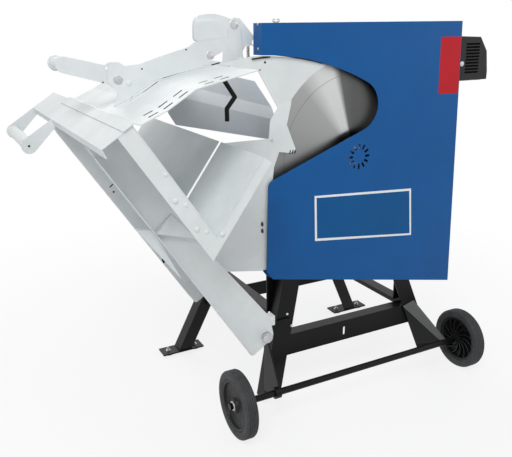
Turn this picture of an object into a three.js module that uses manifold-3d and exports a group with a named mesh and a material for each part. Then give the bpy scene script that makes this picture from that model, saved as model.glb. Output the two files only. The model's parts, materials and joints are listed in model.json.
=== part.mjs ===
import * as THREE from 'three';
import { mergeVertices } from 'three/addons/utils/BufferGeometryUtils.js';
import Module from 'manifold-3d';

const wasm = await Module();
wasm.setup();

// Firewood saw with a rocking log trough, in millimetres.
// X runs along the saw to the right, Y away from the operator, Z up from the ground.
// While it is built, X is zero at the blade's axis and Y is zero at the housing's front face.

const FIT = 0.3;
const CUT = 2;
const ROUND_STEPS = 28;
const WHEEL_STEPS = 36;
const SMALL_STEPS = 16;
const MIDDLE_STEPS = 24;
const SLOT_STEPS = 8;
const PIN_STEPS = 10;
const LIP_STEPS = 10;
const LINK_STEPS = 12;
const CORNER_TURN = Math.PI / 10;
const MERGE = 1e-3;

// Blade and arbor.
const BLADE_CENTRE_Z = 886.7;
const BLADE_RADIUS = 350;
const BLADE_FRONT_Y = 32.7;
const BLADE_THICKNESS = 4.2;
const BLADE_TEETH = 42;
const ARBOR_RADIUS = 15;
const GULLET_DEPTH = 16.3;
const TOOTH_LAND = 10.5;
const TIP_DROP = 1.9;
const GULLET_SHARES = [0.62, 0.72, 0.88, 0.96];
const FLANGE_RADIUS = 60.7;
const FLANGE_THICKNESS = 9.3;
const NUT_ACROSS = 51.3;
const NUT_THICKNESS = 8.8;

// Blade housing: two sheet shells with the mouth that the trough swings into.
const SHEET = 2.5;
const SHELL_DEPTH = 54.8;
const REAR_SHEET = 3;
const SHELL_ABOVE_MOUTH = 94.5;
const SHELL_TOP_LEFT_X = -378;
const SHELL_TOP_RIGHT_X = 434;
const SHELL_BOTTOM_RIGHT = [464.9, 330.2];
const SHELL_BOTTOM_LEFT = [-345.3, 494.7];
const SHELL_STEP = [-369.8, 528.5];
const MOUTH_LOWER_LEFT = [-360.5, 836.5];
const MOUTH_CORNER_RADIUS = 25.7;
const MOUTH_END_X = -14;
const MOUTH_END_RADIUS = 87.5;
const MOUTH_TOP_LEFT_X = -379.2;
const MOUTH_ABOVE_ARBOR = 231.14;
const GUARD_SWING_CLEARANCE = 2.3;
const VENT_COUNT = 12;
const VENT_INNER_RADIUS = 25.7;
const VENT_OUTER_RADIUS = 44.3;
const VENT_WIDTH = 7.6;

// Rocker pivot, and the swing that takes the trough to the far end of the mouth.
const PIVOT_X = -394.3;
const PIVOT_Z = 305.7;
const PIVOT_RADIUS = 14;
const PIVOT_HEAD_RADIUS = 19.8;
const PIVOT_HEAD = 10.5;
const PIVOT_WASHER_RADIUS = 18.7;
const PIVOT_WASHER = 3.5;
const PIVOT_BRACKET_RADIUS = 30.3;
const PIVOT_BRACKET_THICKNESS = 7;
const PIVOT_BRACKET_END_X = -280;
const REAR_BRACKET_FRONT_Y = 457.3;

// Rocker sheets. Points of the rocker are measured from its pivot.
const ROCKER_SHEET = 3;
const TROUGH_NEAR_Y = -260.2;
const TROUGH_FAR_Y = 758.3;
const TROUGH_BOTTOM = [-268.3, 470.2];
const TROUGH_LEFT_TOP = [-480.7, 791];
const TROUGH_RIGHT_TOP = [-119, 675.5];
const TOP_PLATE_END = [-563.5, 738.5];
const TOP_LIP_END = [-551.8, 714];
const BLADE_SLOT_FRONT_Y = 25.7;
const BLADE_SLOT_BACK_Y = 44.3;
const BLADE_SLOT_RISE = 184.3;
const LOG_RADIUS = 116.7;
const LOG_CLEARANCE = 14;
const FRAME_WIDTH = 32.7;
const ARM_FRONT_Y = -38.5;
const ARM_REAR_Y = 471.3;
const ARM_EDGE_TOP = [-543.7, 694.2];
const ARM_EDGE_BOTTOM = [-56, -63];
const ARM_CORNER = [30.3, -7];
const ARM_CORNER_RADIUS = 23.3;
const ARM_RIGHT_LOW = [14, 72.3];
const ARM_RIGHT_HIGH = [-183.2, 320.8];
const ARM_FLANGE = 28;
const ARM_FLANGE_START_SHARE = 0.04;
const STOP_LUG = [35, 53.7];
const STOP_LUG_SIZE = 35;
const STOP_LUG_DEPTH = 30.3;
const GUSSET_OUTER = [-367.5, 437.5];
const GUSSET_UPPER = [-308, 474.8];
const GUSSET_LOWER = [-241.5, 381.5];

// Moving blade guard in the plane just before the blade, most of it in shares of its reach.
const GUARD_FRONT_Y = 9.3;
const GUARD_END_SHARES = [-0.1404, 0.9799];
const GUARD_LIP_SHARES = [-0.0175, 1.0];
const GUARD_NOSE_SHARES = [0.2769, 0.9611];
const GUARD_HOLLOW_SHARES = [0.4235, 0.6241];
const GUARD_HOLLOW_END_SHARES = [0.1291, 0.8571];
const GUARD_EDGE_SHARES = [
  [0.1329, 0.8333], [0.1165, 0.7656], [0.1541, 0.6742], [0.1291, 0.6654], [0.0852, 0.6729],
  [0.0639, 0.619], [0.0564, 0.5513],
];
const GUARD_HEEL = [[50.2, 228.7], [8.2, 225.2], [-129.5, 248.5], [-149.3, 267.2]];
const GUARD_WINDOW_SHARES = [[0.0451, 0.7231], [0.0502, 0.7844], [0.0814, 0.8258], [0.0062, 0.9524]];

// Rear guard behind the motor, a sheet with two bends that run along its slope.
const REAR_GUARD_Y = 466.7;
const REAR_GUARD_STEP_Y = 35;
const REAR_GUARD_BAND = 46;
const REAR_GUARD_LOWER = 220;
const REAR_GUARD_UPPER = 150;
const REAR_GUARD_FOLD = [[-260, 872.9], [330, 704.1]];
const REAR_GUARD_LEFT = [-291.7, 805];
const REAR_GUARD_FOOT_TURN = Math.PI / 10;
const REAR_GUARD_RIGHT = [[228.7, 816.7], [303.3, 711.7], [305.7, 583.3]];

// Roof over the trough, with the slot that the blade comes through.
const ROOF_SHEET = 3;
const ROOF_SEAT = 29.2;
const ROOF_BEND_PAST = 4.7;
const ROOF_BEND_POINTS = [[-460.8, 791], [-388.5, 822.5], [-311.5, 869.2], [-134.2, 908.8]];
const ROOF_SLOT_START_X = -396.7;
const ROOF_BACK_Y = 490;
const VENT_SLOT_LENGTH = 28;
const VENT_SLOT_WIDTH = 4.7;
const VENT_ROW_Y = [-233.3, -192.5];
const VENT_SLOT_X = [-418.8, -378, -336, -263.7, -219.3];

// Upright plate on the roof, behind the housing.
const UPRIGHT_FRONT_Y = 61.8;
const UPRIGHT_SHEET = 3;
const UPRIGHT_LEFT = [[-448, 910, 9.3], [-450.3, 869.2, 16.3], [-422.3, 842.3, 11.7]];
const UPRIGHT_TOP = [
  [-441, 924, 9.3], [-396.7, 914.7], [-354.7, 918.2], [-288.2, 938], [-203, 961.3], [-176.2, 976.5],
  [-70, 987],
];
const UPRIGHT_POST = [
  [-19.8, 933.3], [-25.7, 1010.3], [-31.5, 1037.2, 11.7], [-47.8, 1045.3], [-60.7, 1037.2, 11.7],
];
const UPRIGHT_TOE = [[-130.7, 900.7], [17.5, 900.7], [17.5, 914.7], [-14, 917]];
const UPRIGHT_WINDOW = [[-137.7, 922.8], [-86.3, 947.3], [-89.8, 914.7]];
const UPRIGHT_START_SHARE = 0.3;
const ROOF_FOOT_BEND = 3;
const HANDLE_BOLT = [-417.7, 883.2];
const HANDLE_PIN_RADIUS = 7;
const HANDLE_HEAD_RADIUS = 10.5;
const PIN_HEAD = 2.1;

// Rounded cover beside the post, over the log's top.
const COVER_DEPTH = 14;
const COVER_SHEET_METAL = 3;
const COVER_SEAT = [[-174, 982], [-120, 987], [-120, 1002], [-174, 997]];
const COVER_OUTLINE = [
  [-68, 985.5], [-178.4, 975.8, 12], [-174.5, 1050, 26], [-108.3, 1059, 120], [-46, 1037, 12],
];

// Hold-down claw, its rod and its spring.
const CLAW_PIVOT = [-47.8, 1024.3];
const CLAW_SHEET = 3;
const CLAW_LUG = [22.2, 970.7];
const CLAW_LUG_RADIUS = 11.7;
const CLAW_OUTLINE = [
  [-65.3, 1026.7, 11.7], [-51.3, 1045.3, 11.7], [-25.7, 1041.8], [30.3, 978.8], [9.3, 961.3], [-7, 961.3],
  [-42, 914.7, 9.3], [-77, 919.3, 9.3],
];
const CLAW_HEAD_RADIUS = 10.5;
const CLAW_ROD_RADIUS = 7.5;
const CLAW_ROD_POINTS = [[-60.7, 933.3], [-77, 854], [-44.3, 805], [-73.5, 770], [-73.5, 730.3]];
const CLAW_PIN_RADIUS = 5.8;
const SPRING_RADIUS = 4.9;
const SPRING_WIRE = 0.9;
const SPRING_CURLS = 12;
const CURL_STEPS = 8;
const CURL_SIDES = 5;
const SPRING_X = 0;

// Handles.
const HANDLE_SHEET = 3;
const UPPER_ROLL = [-568.2, 924];
const UPPER_ROLL_RADIUS = 18.7;
const UPPER_EAR_RADIUS = 22.2;
const UPPER_HUB_RADIUS = 25.7;
const UPPER_ROLL_LENGTH = 112;
const UPPER_TOP_EAR = [[-49, 0], [-49, 27, 9], [-25, 43, 14], [3, 43, 14], [24, 28, 9], [24, 0]];
const UPPER_EAR_SLOT = [[-33, 27], [-14, 33]];
const UPPER_EAR_SLOT_RADIUS = 3.2;
const LOWER_ROLL = [-641.7, 658];
const LOWER_ROLL_RADIUS = 21;
const LOWER_EAR_RADIUS = 25.7;
const LOWER_EAR_NEAR_Y = 379.2;
const LOWER_EAR_FAR_Y = 752.5;

// Black frame of angle bars.
const ANGLE = 5;
const LEG_WIDTH = 70;
const LEFT_LEG_FOOT = [-387.3, 29.2];
const LEFT_LEG_TOP = [-295.2, 530.8];
const LEFT_LEG_SIDE_TOP_Z = 480.7;
const RIGHT_LEG_FOOT = [408.3, 42];
const RIGHT_LEG_TOP = [214.7, 481.8];
const FRONT_RAIL_LOW_Z = 183.2;
const FRONT_RAIL_TOP_Z = 263.7;
const RAIL_LEG = 46.7;
const RAIL_SLOT_X = -35;
const RAIL_SLOT_LENGTH = 35;
const RAIL_SLOT_WIDTH = 10.5;
const LEFT_RAIL_X = -341.8;
const LEFT_RAIL_TOP_Z = 353.5;
const RIGHT_RAIL_X = 233.3;
const RIGHT_RAIL_TOP_Z = 280;
const REAR_LEG_WIDTH = 58.3;
const REAR_LEG_FRONT_Y = 479.9;
const REAR_LEG_SPREAD_Y = 46.7;
const LEFT_REAR_FOOT_X = -513.3;
const LEFT_REAR_TOP_X = -364;
const RIGHT_REAR_FOOT_X = 396.7;
const RIGHT_REAR_TOP_X = 263.7;
const REAR_RAIL_LOW_Z = 211.2;
const REAR_RAIL_TOP_Z = 270.7;
const FOOT_PLATE_LENGTH = 180.8;
const FOOT_PLATE_WIDTH = 65.3;
const FOOT_PLATE_MARGIN = 3.5;
const LEFT_FOOT_PLATE_X = -583.3;
const RIGHT_FOOT_PLATE_X = 277.7;
const FOOT_PLATE_THICKNESS = 6;
const PAD_RADIUS = 23.3;
const PAD_HEIGHT = 7;
const PAD_INSET = 30.3;
const UPRIGHT_BAR_TOP_Z = 723.3;
const UPRIGHT_BAR_THICKNESS = 6;
const LEFT_UPRIGHT_BAR_X = -338.3;
const RIGHT_UPRIGHT_BAR_X = 239.2;
const UPRIGHT_BAR_WIDTH = 39.7;

// Axle and wheels.
const WHEEL_RADIUS = 116.7;
const WHEEL_WIDTH = 44.3;
const AXLE_Y = -98;
const AXLE_RADIUS = 11.7;
const LEFT_WHEEL_X = -535.5;
const RIGHT_WHEEL_X = 456.2;
const TYRE_DEPTH = 28;
const TYRE_SHARES = [0.42, 0.16];
const HUB_RADIUS = 28;
const SPOKE_COUNT = 14;
const SPOKE_WIDTH = 5.8;
const WEB_THICKNESS = 7;
const CAP_DEPTH = 7;
const HUB_PROUD = 3.5;
const COLLAR_RADIUS = 17.5;
const COLLAR_WIDTH = 4.7;
const WHEEL_BRACKET_SHEET = 6;
const LEFT_BRACKET_X = -383.2;
const LEFT_BRACKET_TOP = [-28, 270.7];
const LEFT_BRACKET_FOOT_Z = 70;
const RIGHT_BRACKET_X = 373.3;
const RIGHT_BRACKET_TOP_X = [250.8, 291.7];
const RIGHT_BRACKET_TOP_Z = [275.3, 287];
const AXLE_BOSS_RADIUS = 19.8;
const AXLE_BOSS_LENGTH = 21;

// Motor behind the housing, on the blade's axis.
const MOTOR_FLANGE_RADIUS = 81.7;
const MOTOR_FLANGE_BACK_Y = 77;
const MOTOR_RADIUS = 102.7;
const MOTOR_FRONT_Y = 87.5;
const MOTOR_BACK_Y = 332.5;
const MOTOR_END_Y = 355.8;
const FAN_COVER_BACK_Y = 425.8;
const MOTOR_WALL = 9.3;
const FIN_COUNT = 36;
const FIN_HEIGHT = 8.2;
const FIN_WIDTH = 3.5;
const BEARING_RADIUS = 36.2;
const BEARING_WIDTH = 17.5;
const ROTOR_RADIUS = 60.7;
const ROTOR_FRONT_Y = 116.7;
const ROTOR_BACK_Y = 305.7;
const FAN_RADIUS = 77;
const FAN_SETBACK = 8.95;
const FAN_BLADES = 8;
const FAN_WIDTH = 30.3;
const COVER_SHEET = 1.5;
const COVER_VENTS = 12;
const COVER_VENT_INNER = 30.3;
const TERMINAL_WIDTH = 112;
const TERMINAL_HEIGHT = 98;
const TERMINAL_DEPTH = 53.7;
const TERMINAL_FRONT_Y = 142.3;

// Switch box on the housing's right side.
const SWITCH_FRONT_Y = 11.7;
const SWITCH_DEPTH = 87.5;
const SWITCH_FACE_LOW = [591.5, 1086.2];
const SWITCH_FACE_HIGH = [581, 1227.3];
const SWITCH_SLOPE_TOP = [546, 1277.5];
const SWITCH_TOP_LEFT_Z = 1281;
const SWITCH_SLOT_LOW_Z = 1106;
const SWITCH_SLOTS = 8;
const SWITCH_SLOT_LENGTH = 72.3;
const SWITCH_SLOT_WIDTH = 4.7;
const SWITCH_SLOT_PITCH = 15.2;
const SWITCH_SLOT_DEPTH = 3.5;
const BUTTON_RADIUS = 12.8;
const BUTTON_TRAVEL = 4.7;
const BUTTON_DEPTH = 18.7;
const BUTTON_PROUD = 8.2;
const START_BUTTON_Z = 1180.7;
const STOP_BUTTON_Z = 1129.3;
const INLET_RADIUS = 28;
const INLET_DEPTH = 39.7;
const INLET_PINS = [[0, 12.8], [11.7, -7], [-11.7, -7]];
const PIN_RADIUS = 2.9;

// Colours.
const BLUE = 0x25609f;
const LIGHT_GREY = 0xccd2d2;
const BLACK = 0x1c1e1f;
const STEEL = 0xb9bcbe;
const RUBBER = 0x2b2c2e;
const MOTOR_GREY = 0x6f7478;
const GREEN = 0x1f8a3b;
const RED = 0xb3202a;

// Solids made from closed three.js geometries.

function solid(geometry) {
  const bare = geometry.clone();
  bare.deleteAttribute('normal');
  bare.deleteAttribute('uv');
  const merged = mergeVertices(bare, MERGE);
  const index = merged.index.array;
  const kept = [];
  for (let i = 0; i < index.length; i += 3) {
    const [a, b, c] = [index[i], index[i + 1], index[i + 2]];
    if (a !== b && b !== c && c !== a) kept.push(a, b, c);
  }
  const vertProperties = new Float32Array(merged.attributes.position.array);
  return new wasm.Manifold(new wasm.Mesh({ numProp: 3, vertProperties, triVerts: new Uint32Array(kept) }));
}

function geometryOf(manifold) {
  const mesh = manifold.getMesh();
  const geometry = new THREE.BufferGeometry();
  geometry.setAttribute('position', new THREE.BufferAttribute(mesh.vertProperties, 3));
  geometry.setIndex(new THREE.BufferAttribute(mesh.triVerts, 1));
  geometry.computeVertexNormals();
  return geometry;
}

function join(solids) {
  return solids.reduce((whole, one) => whole.add(one));
}

function cut(body, tools) {
  return tools.reduce((rest, tool) => rest.subtract(tool), body);
}

// Outlines. A point is [across, up], or [across, up, corner radius].

function corner(before, point, after) {
  const here = new THREE.Vector2(point[0], point[1]);
  const back = new THREE.Vector2(before[0], before[1]).sub(here);
  const ahead = new THREE.Vector2(after[0], after[1]).sub(here);
  const half = Math.acos(back.clone().normalize().dot(ahead.clone().normalize())) / 2;
  const reach = point[2] / Math.tan(half);
  const middle = back.clone().normalize().add(ahead.clone().normalize()).normalize();
  const centre = here.clone().addScaledVector(middle, point[2] / Math.sin(half));
  const first = here.clone().addScaledVector(back.normalize(), reach);
  const last = here.clone().addScaledVector(ahead.normalize(), reach);
  const start = first.sub(centre);
  const turn = start.angleTo(last.sub(centre)) * Math.sign(start.cross(last));
  const steps = Math.max(2, Math.ceil(Math.abs(turn) / CORNER_TURN));
  const points = [];
  for (let i = 0; i <= steps; i += 1) {
    const p = start.clone().rotateAround(new THREE.Vector2(), (turn * i) / steps).add(centre);
    points.push([p.x, p.y]);
  }
  return points;
}

function rounded(points) {
  const count = points.length;
  return points.flatMap((point, i) => {
    if (point.length < 3) return [point];
    return corner(points[(i + count - 1) % count], point, points[(i + 1) % count]);
  });
}

function arc(centre, radius, from, to, steps) {
  const points = [];
  for (let i = 0; i <= steps; i += 1) {
    const angle = from + ((to - from) * i) / steps;
    points.push([centre[0] + radius * Math.cos(angle), centre[1] + radius * Math.sin(angle)]);
  }
  return points;
}

function angleOf(centre, point) {
  return Math.atan2(point[1] - centre[1], point[0] - centre[0]);
}

function extruded(points, depth) {
  const shape = new THREE.Shape(rounded(points).map(([a, b]) => new THREE.Vector2(a, b)));
  return new THREE.ExtrudeGeometry(shape, { depth, bevelEnabled: false, steps: 1 });
}

// A plate of an X, Z outline that runs from one Y to another.
function plateY(points, front, back) {
  return solid(extruded(points, back - front).rotateX(Math.PI / 2).translate(0, back, 0));
}

// A plate of a Y, Z outline that runs from one X to another.
function plateX(points, left, right) {
  const turned = new THREE.Matrix4().makeBasis(
    new THREE.Vector3(0, 1, 0), new THREE.Vector3(0, 0, 1), new THREE.Vector3(1, 0, 0));
  return solid(extruded(points, right - left).applyMatrix4(turned).translate(left, 0, 0));
}

function boxOf(left, right, front, back, low, high) {
  const box = new THREE.BoxGeometry(right - left, back - front, high - low);
  return solid(box.translate((left + right) / 2, (front + back) / 2, (low + high) / 2));
}

// Round rods along each axis.
function rodY(centre, radius, front, back, steps = ROUND_STEPS) {
  const rod = new THREE.CylinderGeometry(radius, radius, back - front, steps);
  return solid(rod.translate(centre[0], (front + back) / 2, centre[1]));
}

function rodX(centre, radius, left, right, steps = ROUND_STEPS) {
  const rod = new THREE.CylinderGeometry(radius, radius, right - left, steps).rotateZ(-Math.PI / 2);
  return solid(rod.translate((left + right) / 2, centre[0], centre[1]));
}

function rodZ(centre, radius, low, high, steps = ROUND_STEPS) {
  const rod = new THREE.CylinderGeometry(radius, radius, high - low, steps).rotateX(Math.PI / 2);
  return solid(rod.translate(centre[0], centre[1], (low + high) / 2));
}

// A body of revolution about the Y axis through a centre, from [radius, y] points.
function turnedY(profile, steps = ROUND_STEPS) {
  const points = profile.map(([radius, y]) => new THREE.Vector2(radius, y));
  return solid(new THREE.LatheGeometry(points, steps));
}

// The line of a bent sheet, moved sideways by its thickness with mitred bends.
function beside(points, distance) {
  return points.map((point, i) => {
    const before = points[Math.max(i - 1, 0)];
    const after = points[Math.min(i + 1, points.length - 1)];
    const into = new THREE.Vector2(point[0] - before[0], point[1] - before[1]).normalize();
    const out = new THREE.Vector2(after[0] - point[0], after[1] - point[1]).normalize();
    if (i === 0) into.copy(out);
    if (i === points.length - 1) out.copy(into);
    const sum = new THREE.Vector2(-into.y - out.y, into.x + out.x).normalize();
    const stretch = distance / (sum.x * -into.y + sum.y * into.x);
    return [point[0] + sum.x * stretch, point[1] + sum.y * stretch];
  });
}

// The section of a bent sheet. Positive thickness lies to the left of the line.
function bentSheet(points, thickness) {
  return [...points, ...beside(points, thickness).reverse()];
}

// An upright slot with round ends.
function roundSlot(centre, width, length) {
  const [r, reach] = [width / 2, (length - width) / 2];
  const upper = arc([centre[0], centre[1] + reach], r, 0, Math.PI, SLOT_STEPS);
  const lower = arc([centre[0], centre[1] - reach], r, Math.PI, 2 * Math.PI, SLOT_STEPS);
  return [...upper, ...lower];
}

function angleSection(across, deep) {
  const [w, d, t] = [Math.abs(across), deep, ANGLE];
  const points = [[0, 0], [w, 0], [w, t], [t, t], [t, d], [0, d]];
  if (across > 0) return points;
  return points.map(([x, y]) => [-x, y]).reverse();
}

// An upright bar of a flat section whose foot and top lie at different places.
function leaningBar(section, foot, top, lowZ, highZ) {
  const rise = highZ - lowZ;
  const lean = new THREE.Matrix4().set(
    1, 0, (top[0] - foot[0]) / rise, foot[0],
    0, 1, (top[1] - foot[1]) / rise, foot[1],
    0, 0, 1, lowZ,
    0, 0, 0, 1);
  return solid(extruded(section, rise).applyMatrix4(lean));
}

function along(a, b, share) {
  return [a[0] + (b[0] - a[0]) * share, a[1] + (b[1] - a[1]) * share];
}

function lineAtZ(a, b, z) {
  return a[0] + ((b[0] - a[0]) * (z - a[1])) / (b[1] - a[1]);
}

function material(color, roughness, metalness) {
  return new THREE.MeshStandardMaterial({ color, roughness, metalness });
}

const painted = {
  blue: () => material(BLUE, 0.4, 0.3),
  grey: () => material(LIGHT_GREY, 0.45, 0.3),
  black: () => material(BLACK, 0.5, 0.2),
};

const saw = new THREE.Group();
const rocker = new THREE.Group();
rocker.position.set(PIVOT_X, 0, PIVOT_Z);
const blade = new THREE.Group();
blade.position.set(0, 0, BLADE_CENTRE_Z);
saw.add(rocker, blade);

function addPiece(group, name, manifold, finish) {
  const mesh = new THREE.Mesh(geometryOf(manifold), finish);
  mesh.name = name;
  group.add(mesh);
}

// Blade body. Its pieces are turned about the arbor's axis.

function bladeOutline() {
  const points = [];
  const pitch = (2 * Math.PI) / BLADE_TEETH;
  const root = BLADE_RADIUS - GULLET_DEPTH;
  const heel = BLADE_RADIUS - TIP_DROP;
  const landShare = TOOTH_LAND / (BLADE_RADIUS * pitch);
  const at = (radius, turn) => [radius * Math.cos(turn), radius * Math.sin(turn)];
  for (let i = 0; i < BLADE_TEETH; i += 1) {
    const start = i * pitch;
    points.push(at(BLADE_RADIUS, start));
    points.push(at(heel, start + pitch * landShare));
    points.push(at((heel + root) / 2, start + pitch * (1 - (1 - landShare) * GULLET_SHARES[0])));
    points.push(at(root, start + pitch * GULLET_SHARES[1]));
    points.push(at(root, start + pitch * GULLET_SHARES[2]));
    points.push(at((heel + root) / 2, start + pitch * GULLET_SHARES[3]));
  }
  return points;
}

const bladeBack = BLADE_FRONT_Y + BLADE_THICKNESS;
const rearShellFront = SHELL_DEPTH + FIT;
const legFront = SHEET + FIT;
const mouthSwing = Math.hypot(PIVOT_X, BLADE_CENTRE_Z - PIVOT_Z) + MOUTH_ABOVE_ARBOR;
const guardReach = mouthSwing - GUARD_SWING_CLEARANCE;
const shellTop = PIVOT_Z + mouthSwing + SHELL_ABOVE_MOUTH;
const shellTopLeft = [SHELL_TOP_LEFT_X, shellTop];
const shellTopRight = [SHELL_TOP_RIGHT_X, shellTop];
const rearShellBack = rearShellFront + REAR_SHEET;
const nutBack = BLADE_FRONT_Y - FIT - FLANGE_THICKNESS - FIT;
const rearFlangeBack = bladeBack + FIT + FLANGE_THICKNESS;

function sawBlade() {
  const disc = plateY(bladeOutline(), BLADE_FRONT_Y, bladeBack);
  return disc.subtract(rodY([0, 0], ARBOR_RADIUS + FIT, BLADE_FRONT_Y - CUT, bladeBack + CUT));
}

function clampFlange(front, back, taper) {
  const [r, b] = [FLANGE_RADIUS, ARBOR_RADIUS + FIT];
  const rim = r - (back - front) / 2;
  const profile = taper > 0
    ? [[b, front], [r, front], [r, (front + back) / 2], [rim, back], [b, back], [b, front]]
    : [[b, front], [rim, front], [r, (front + back) / 2], [r, back], [b, back], [b, front]];
  return turnedY(profile);
}

function arborNut() {
  const rim = NUT_ACROSS / Math.sqrt(3);
  const hexagon = arc([0, 0], rim, 0, 2 * Math.PI, 6).slice(0, 6);
  const front = nutBack - NUT_THICKNESS;
  return plateY(hexagon, front, nutBack).subtract(
    rodY([0, 0], ARBOR_RADIUS + FIT, front - CUT, nutBack + CUT),
  );
}

const fanFront = MOTOR_END_Y + COVER_SHEET + FIT + FAN_SETBACK;

function arborShaft() {
  const front = nutBack - NUT_THICKNESS;
  const step = ROTOR_FRONT_Y - FIT;
  return turnedY([
    [0, front], [ARBOR_RADIUS, front], [ARBOR_RADIUS, step],
    [ARBOR_RADIUS, fanFront + FAN_WIDTH], [0, fanFront + FAN_WIDTH],
  ]);
}

function rotor() {
  const bore = ARBOR_RADIUS + FIT;
  const [front, back] = [ROTOR_FRONT_Y, ROTOR_BACK_Y];
  return turnedY([[bore, front], [ROTOR_RADIUS, front], [ROTOR_RADIUS, back], [bore, back], [bore, front]]);
}

function coolingFan() {
  const bore = ARBOR_RADIUS + FIT;
  const hub = bore + MOTOR_WALL;
  const back = fanFront + FAN_WIDTH;
  const web = fanFront + COVER_SHEET * 2;
  const disc = turnedY([
    [bore, fanFront], [FAN_RADIUS, fanFront], [FAN_RADIUS, web], [hub, web], [hub, back], [bore, back],
    [bore, fanFront],
  ]);
  const vanes = [];
  for (let i = 0; i < FAN_BLADES; i += 1) {
    const vane = boxOf(hub - COVER_SHEET, FAN_RADIUS, web - FIT, back, -COVER_SHEET, COVER_SHEET);
    vanes.push(vane.rotate([0, (360 * i) / FAN_BLADES, 0]));
  }
  return join([disc, ...vanes]);
}

function addBlade() {
  const steel = () => material(STEEL, 0.3, 0.9);
  addPiece(blade, 'saw_blade', sawBlade(), steel());
  const frontFlange = clampFlange(BLADE_FRONT_Y - FIT - FLANGE_THICKNESS, BLADE_FRONT_Y - FIT, -1);
  addPiece(blade, 'outer_blade_flange', frontFlange, steel());
  addPiece(blade, 'inner_blade_flange', clampFlange(bladeBack + FIT, rearFlangeBack, 1), steel());
  addPiece(blade, 'arbor_nut', arborNut(), steel());
  addPiece(blade, 'arbor_shaft', arborShaft(), steel());
  addPiece(blade, 'motor_rotor', rotor(), steel());
  addPiece(blade, 'cooling_fan', coolingFan(), painted.black());
}

// Blade housing.

function mouthLine() {
  const pivot = [PIVOT_X, PIVOT_Z];
  const reach = mouthSwing;
  const endRise = Math.sqrt((reach - MOUTH_END_RADIUS) ** 2 - (MOUTH_END_X - PIVOT_X) ** 2);
  const end = [MOUTH_END_X, PIVOT_Z + endRise];
  const span = Math.hypot(end[0] - MOUTH_LOWER_LEFT[0], end[1] - MOUTH_LOWER_LEFT[1]);
  const lowerAngle = angleOf(MOUTH_LOWER_LEFT, end) - Math.asin(MOUTH_END_RADIUS / span) - Math.PI / 2;
  const meet = angleOf(pivot, end);
  const last = Math.acos((MOUTH_TOP_LEFT_X - PIVOT_X) / reach);
  const round = arc(end, MOUTH_END_RADIUS, lowerAngle, meet, LINK_STEPS);
  const upper = arc(pivot, reach, meet, last, LIP_STEPS).slice(1);
  return [[...MOUTH_LOWER_LEFT, MOUTH_CORNER_RADIUS], ...round, ...upper];
}

function shellOutline() {
  return [
    shellTopRight, shellTopLeft, ...mouthLine().reverse(), SHELL_STEP, SHELL_BOTTOM_LEFT,
    SHELL_BOTTOM_RIGHT,
  ];
}

function ventSlots() {
  const slots = [];
  const half = VENT_WIDTH / 2;
  for (let i = 0; i < VENT_COUNT; i += 1) {
    const slot = boxOf(VENT_INNER_RADIUS, VENT_OUTER_RADIUS, -CUT, SHEET + CUT, -half, half);
    slots.push(slot.rotate([0, (360 * i) / VENT_COUNT, 0]).translate([0, 0, BLADE_CENTRE_Z]));
  }
  return slots;
}

function frontShell() {
  const panel = plateY(shellOutline(), 0, SHEET);
  const leftEdge = [MOUTH_TOP_LEFT_X, mouthLine().at(-1)[1]];
  const rim = [SHELL_BOTTOM_RIGHT, shellTopRight, shellTopLeft, leftEdge];
  const flange = plateY(bentSheet(rim, SHEET), SHEET / 2, SHELL_DEPTH);
  return cut(panel.add(flange), ventSlots());
}

function rearShell() {
  const panel = plateY(shellOutline(), rearShellFront, rearShellBack);
  const bore = rodY([0, BLADE_CENTRE_Z], ARBOR_RADIUS * 2, rearShellFront - CUT, rearShellBack + CUT);
  return panel.subtract(bore);
}

function addHousing() {
  addPiece(saw, 'blade_housing_front', frontShell(), painted.blue());
  addPiece(saw, 'blade_housing_rear', rearShell(), painted.blue());
}

// Motor. All its pieces are turned about the blade's axis.

function motorFlange() {
  const bore = ARBOR_RADIUS + FIT;
  const front = rearShellBack + FIT;
  const seat = MOTOR_FRONT_Y + BEARING_WIDTH;
  return turnedY([
    [bore + FIT, front], [MOTOR_FLANGE_RADIUS, front], [MOTOR_FLANGE_RADIUS, MOTOR_FLANGE_BACK_Y],
    [MOTOR_RADIUS, MOTOR_FRONT_Y - FIT], [BEARING_RADIUS + MOTOR_WALL, MOTOR_FRONT_Y - FIT],
    [BEARING_RADIUS + MOTOR_WALL, seat],
    [BEARING_RADIUS + FIT, seat], [BEARING_RADIUS + FIT, MOTOR_FRONT_Y - FIT],
    [bore + FIT, MOTOR_FRONT_Y - FIT], [bore + FIT, front],
  ]);
}

// The stator's core is pressed into the housing and makes one piece with it.
function statorCore() {
  const [front, back] = [ROTOR_FRONT_Y, ROTOR_BACK_Y];
  const outer = MOTOR_RADIUS - MOTOR_WALL / 2;
  const bore = ROTOR_RADIUS + 2 * FIT;
  return turnedY([[bore, front], [outer, front], [outer, back], [bore, back], [bore, front]], WHEEL_STEPS);
}

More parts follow.
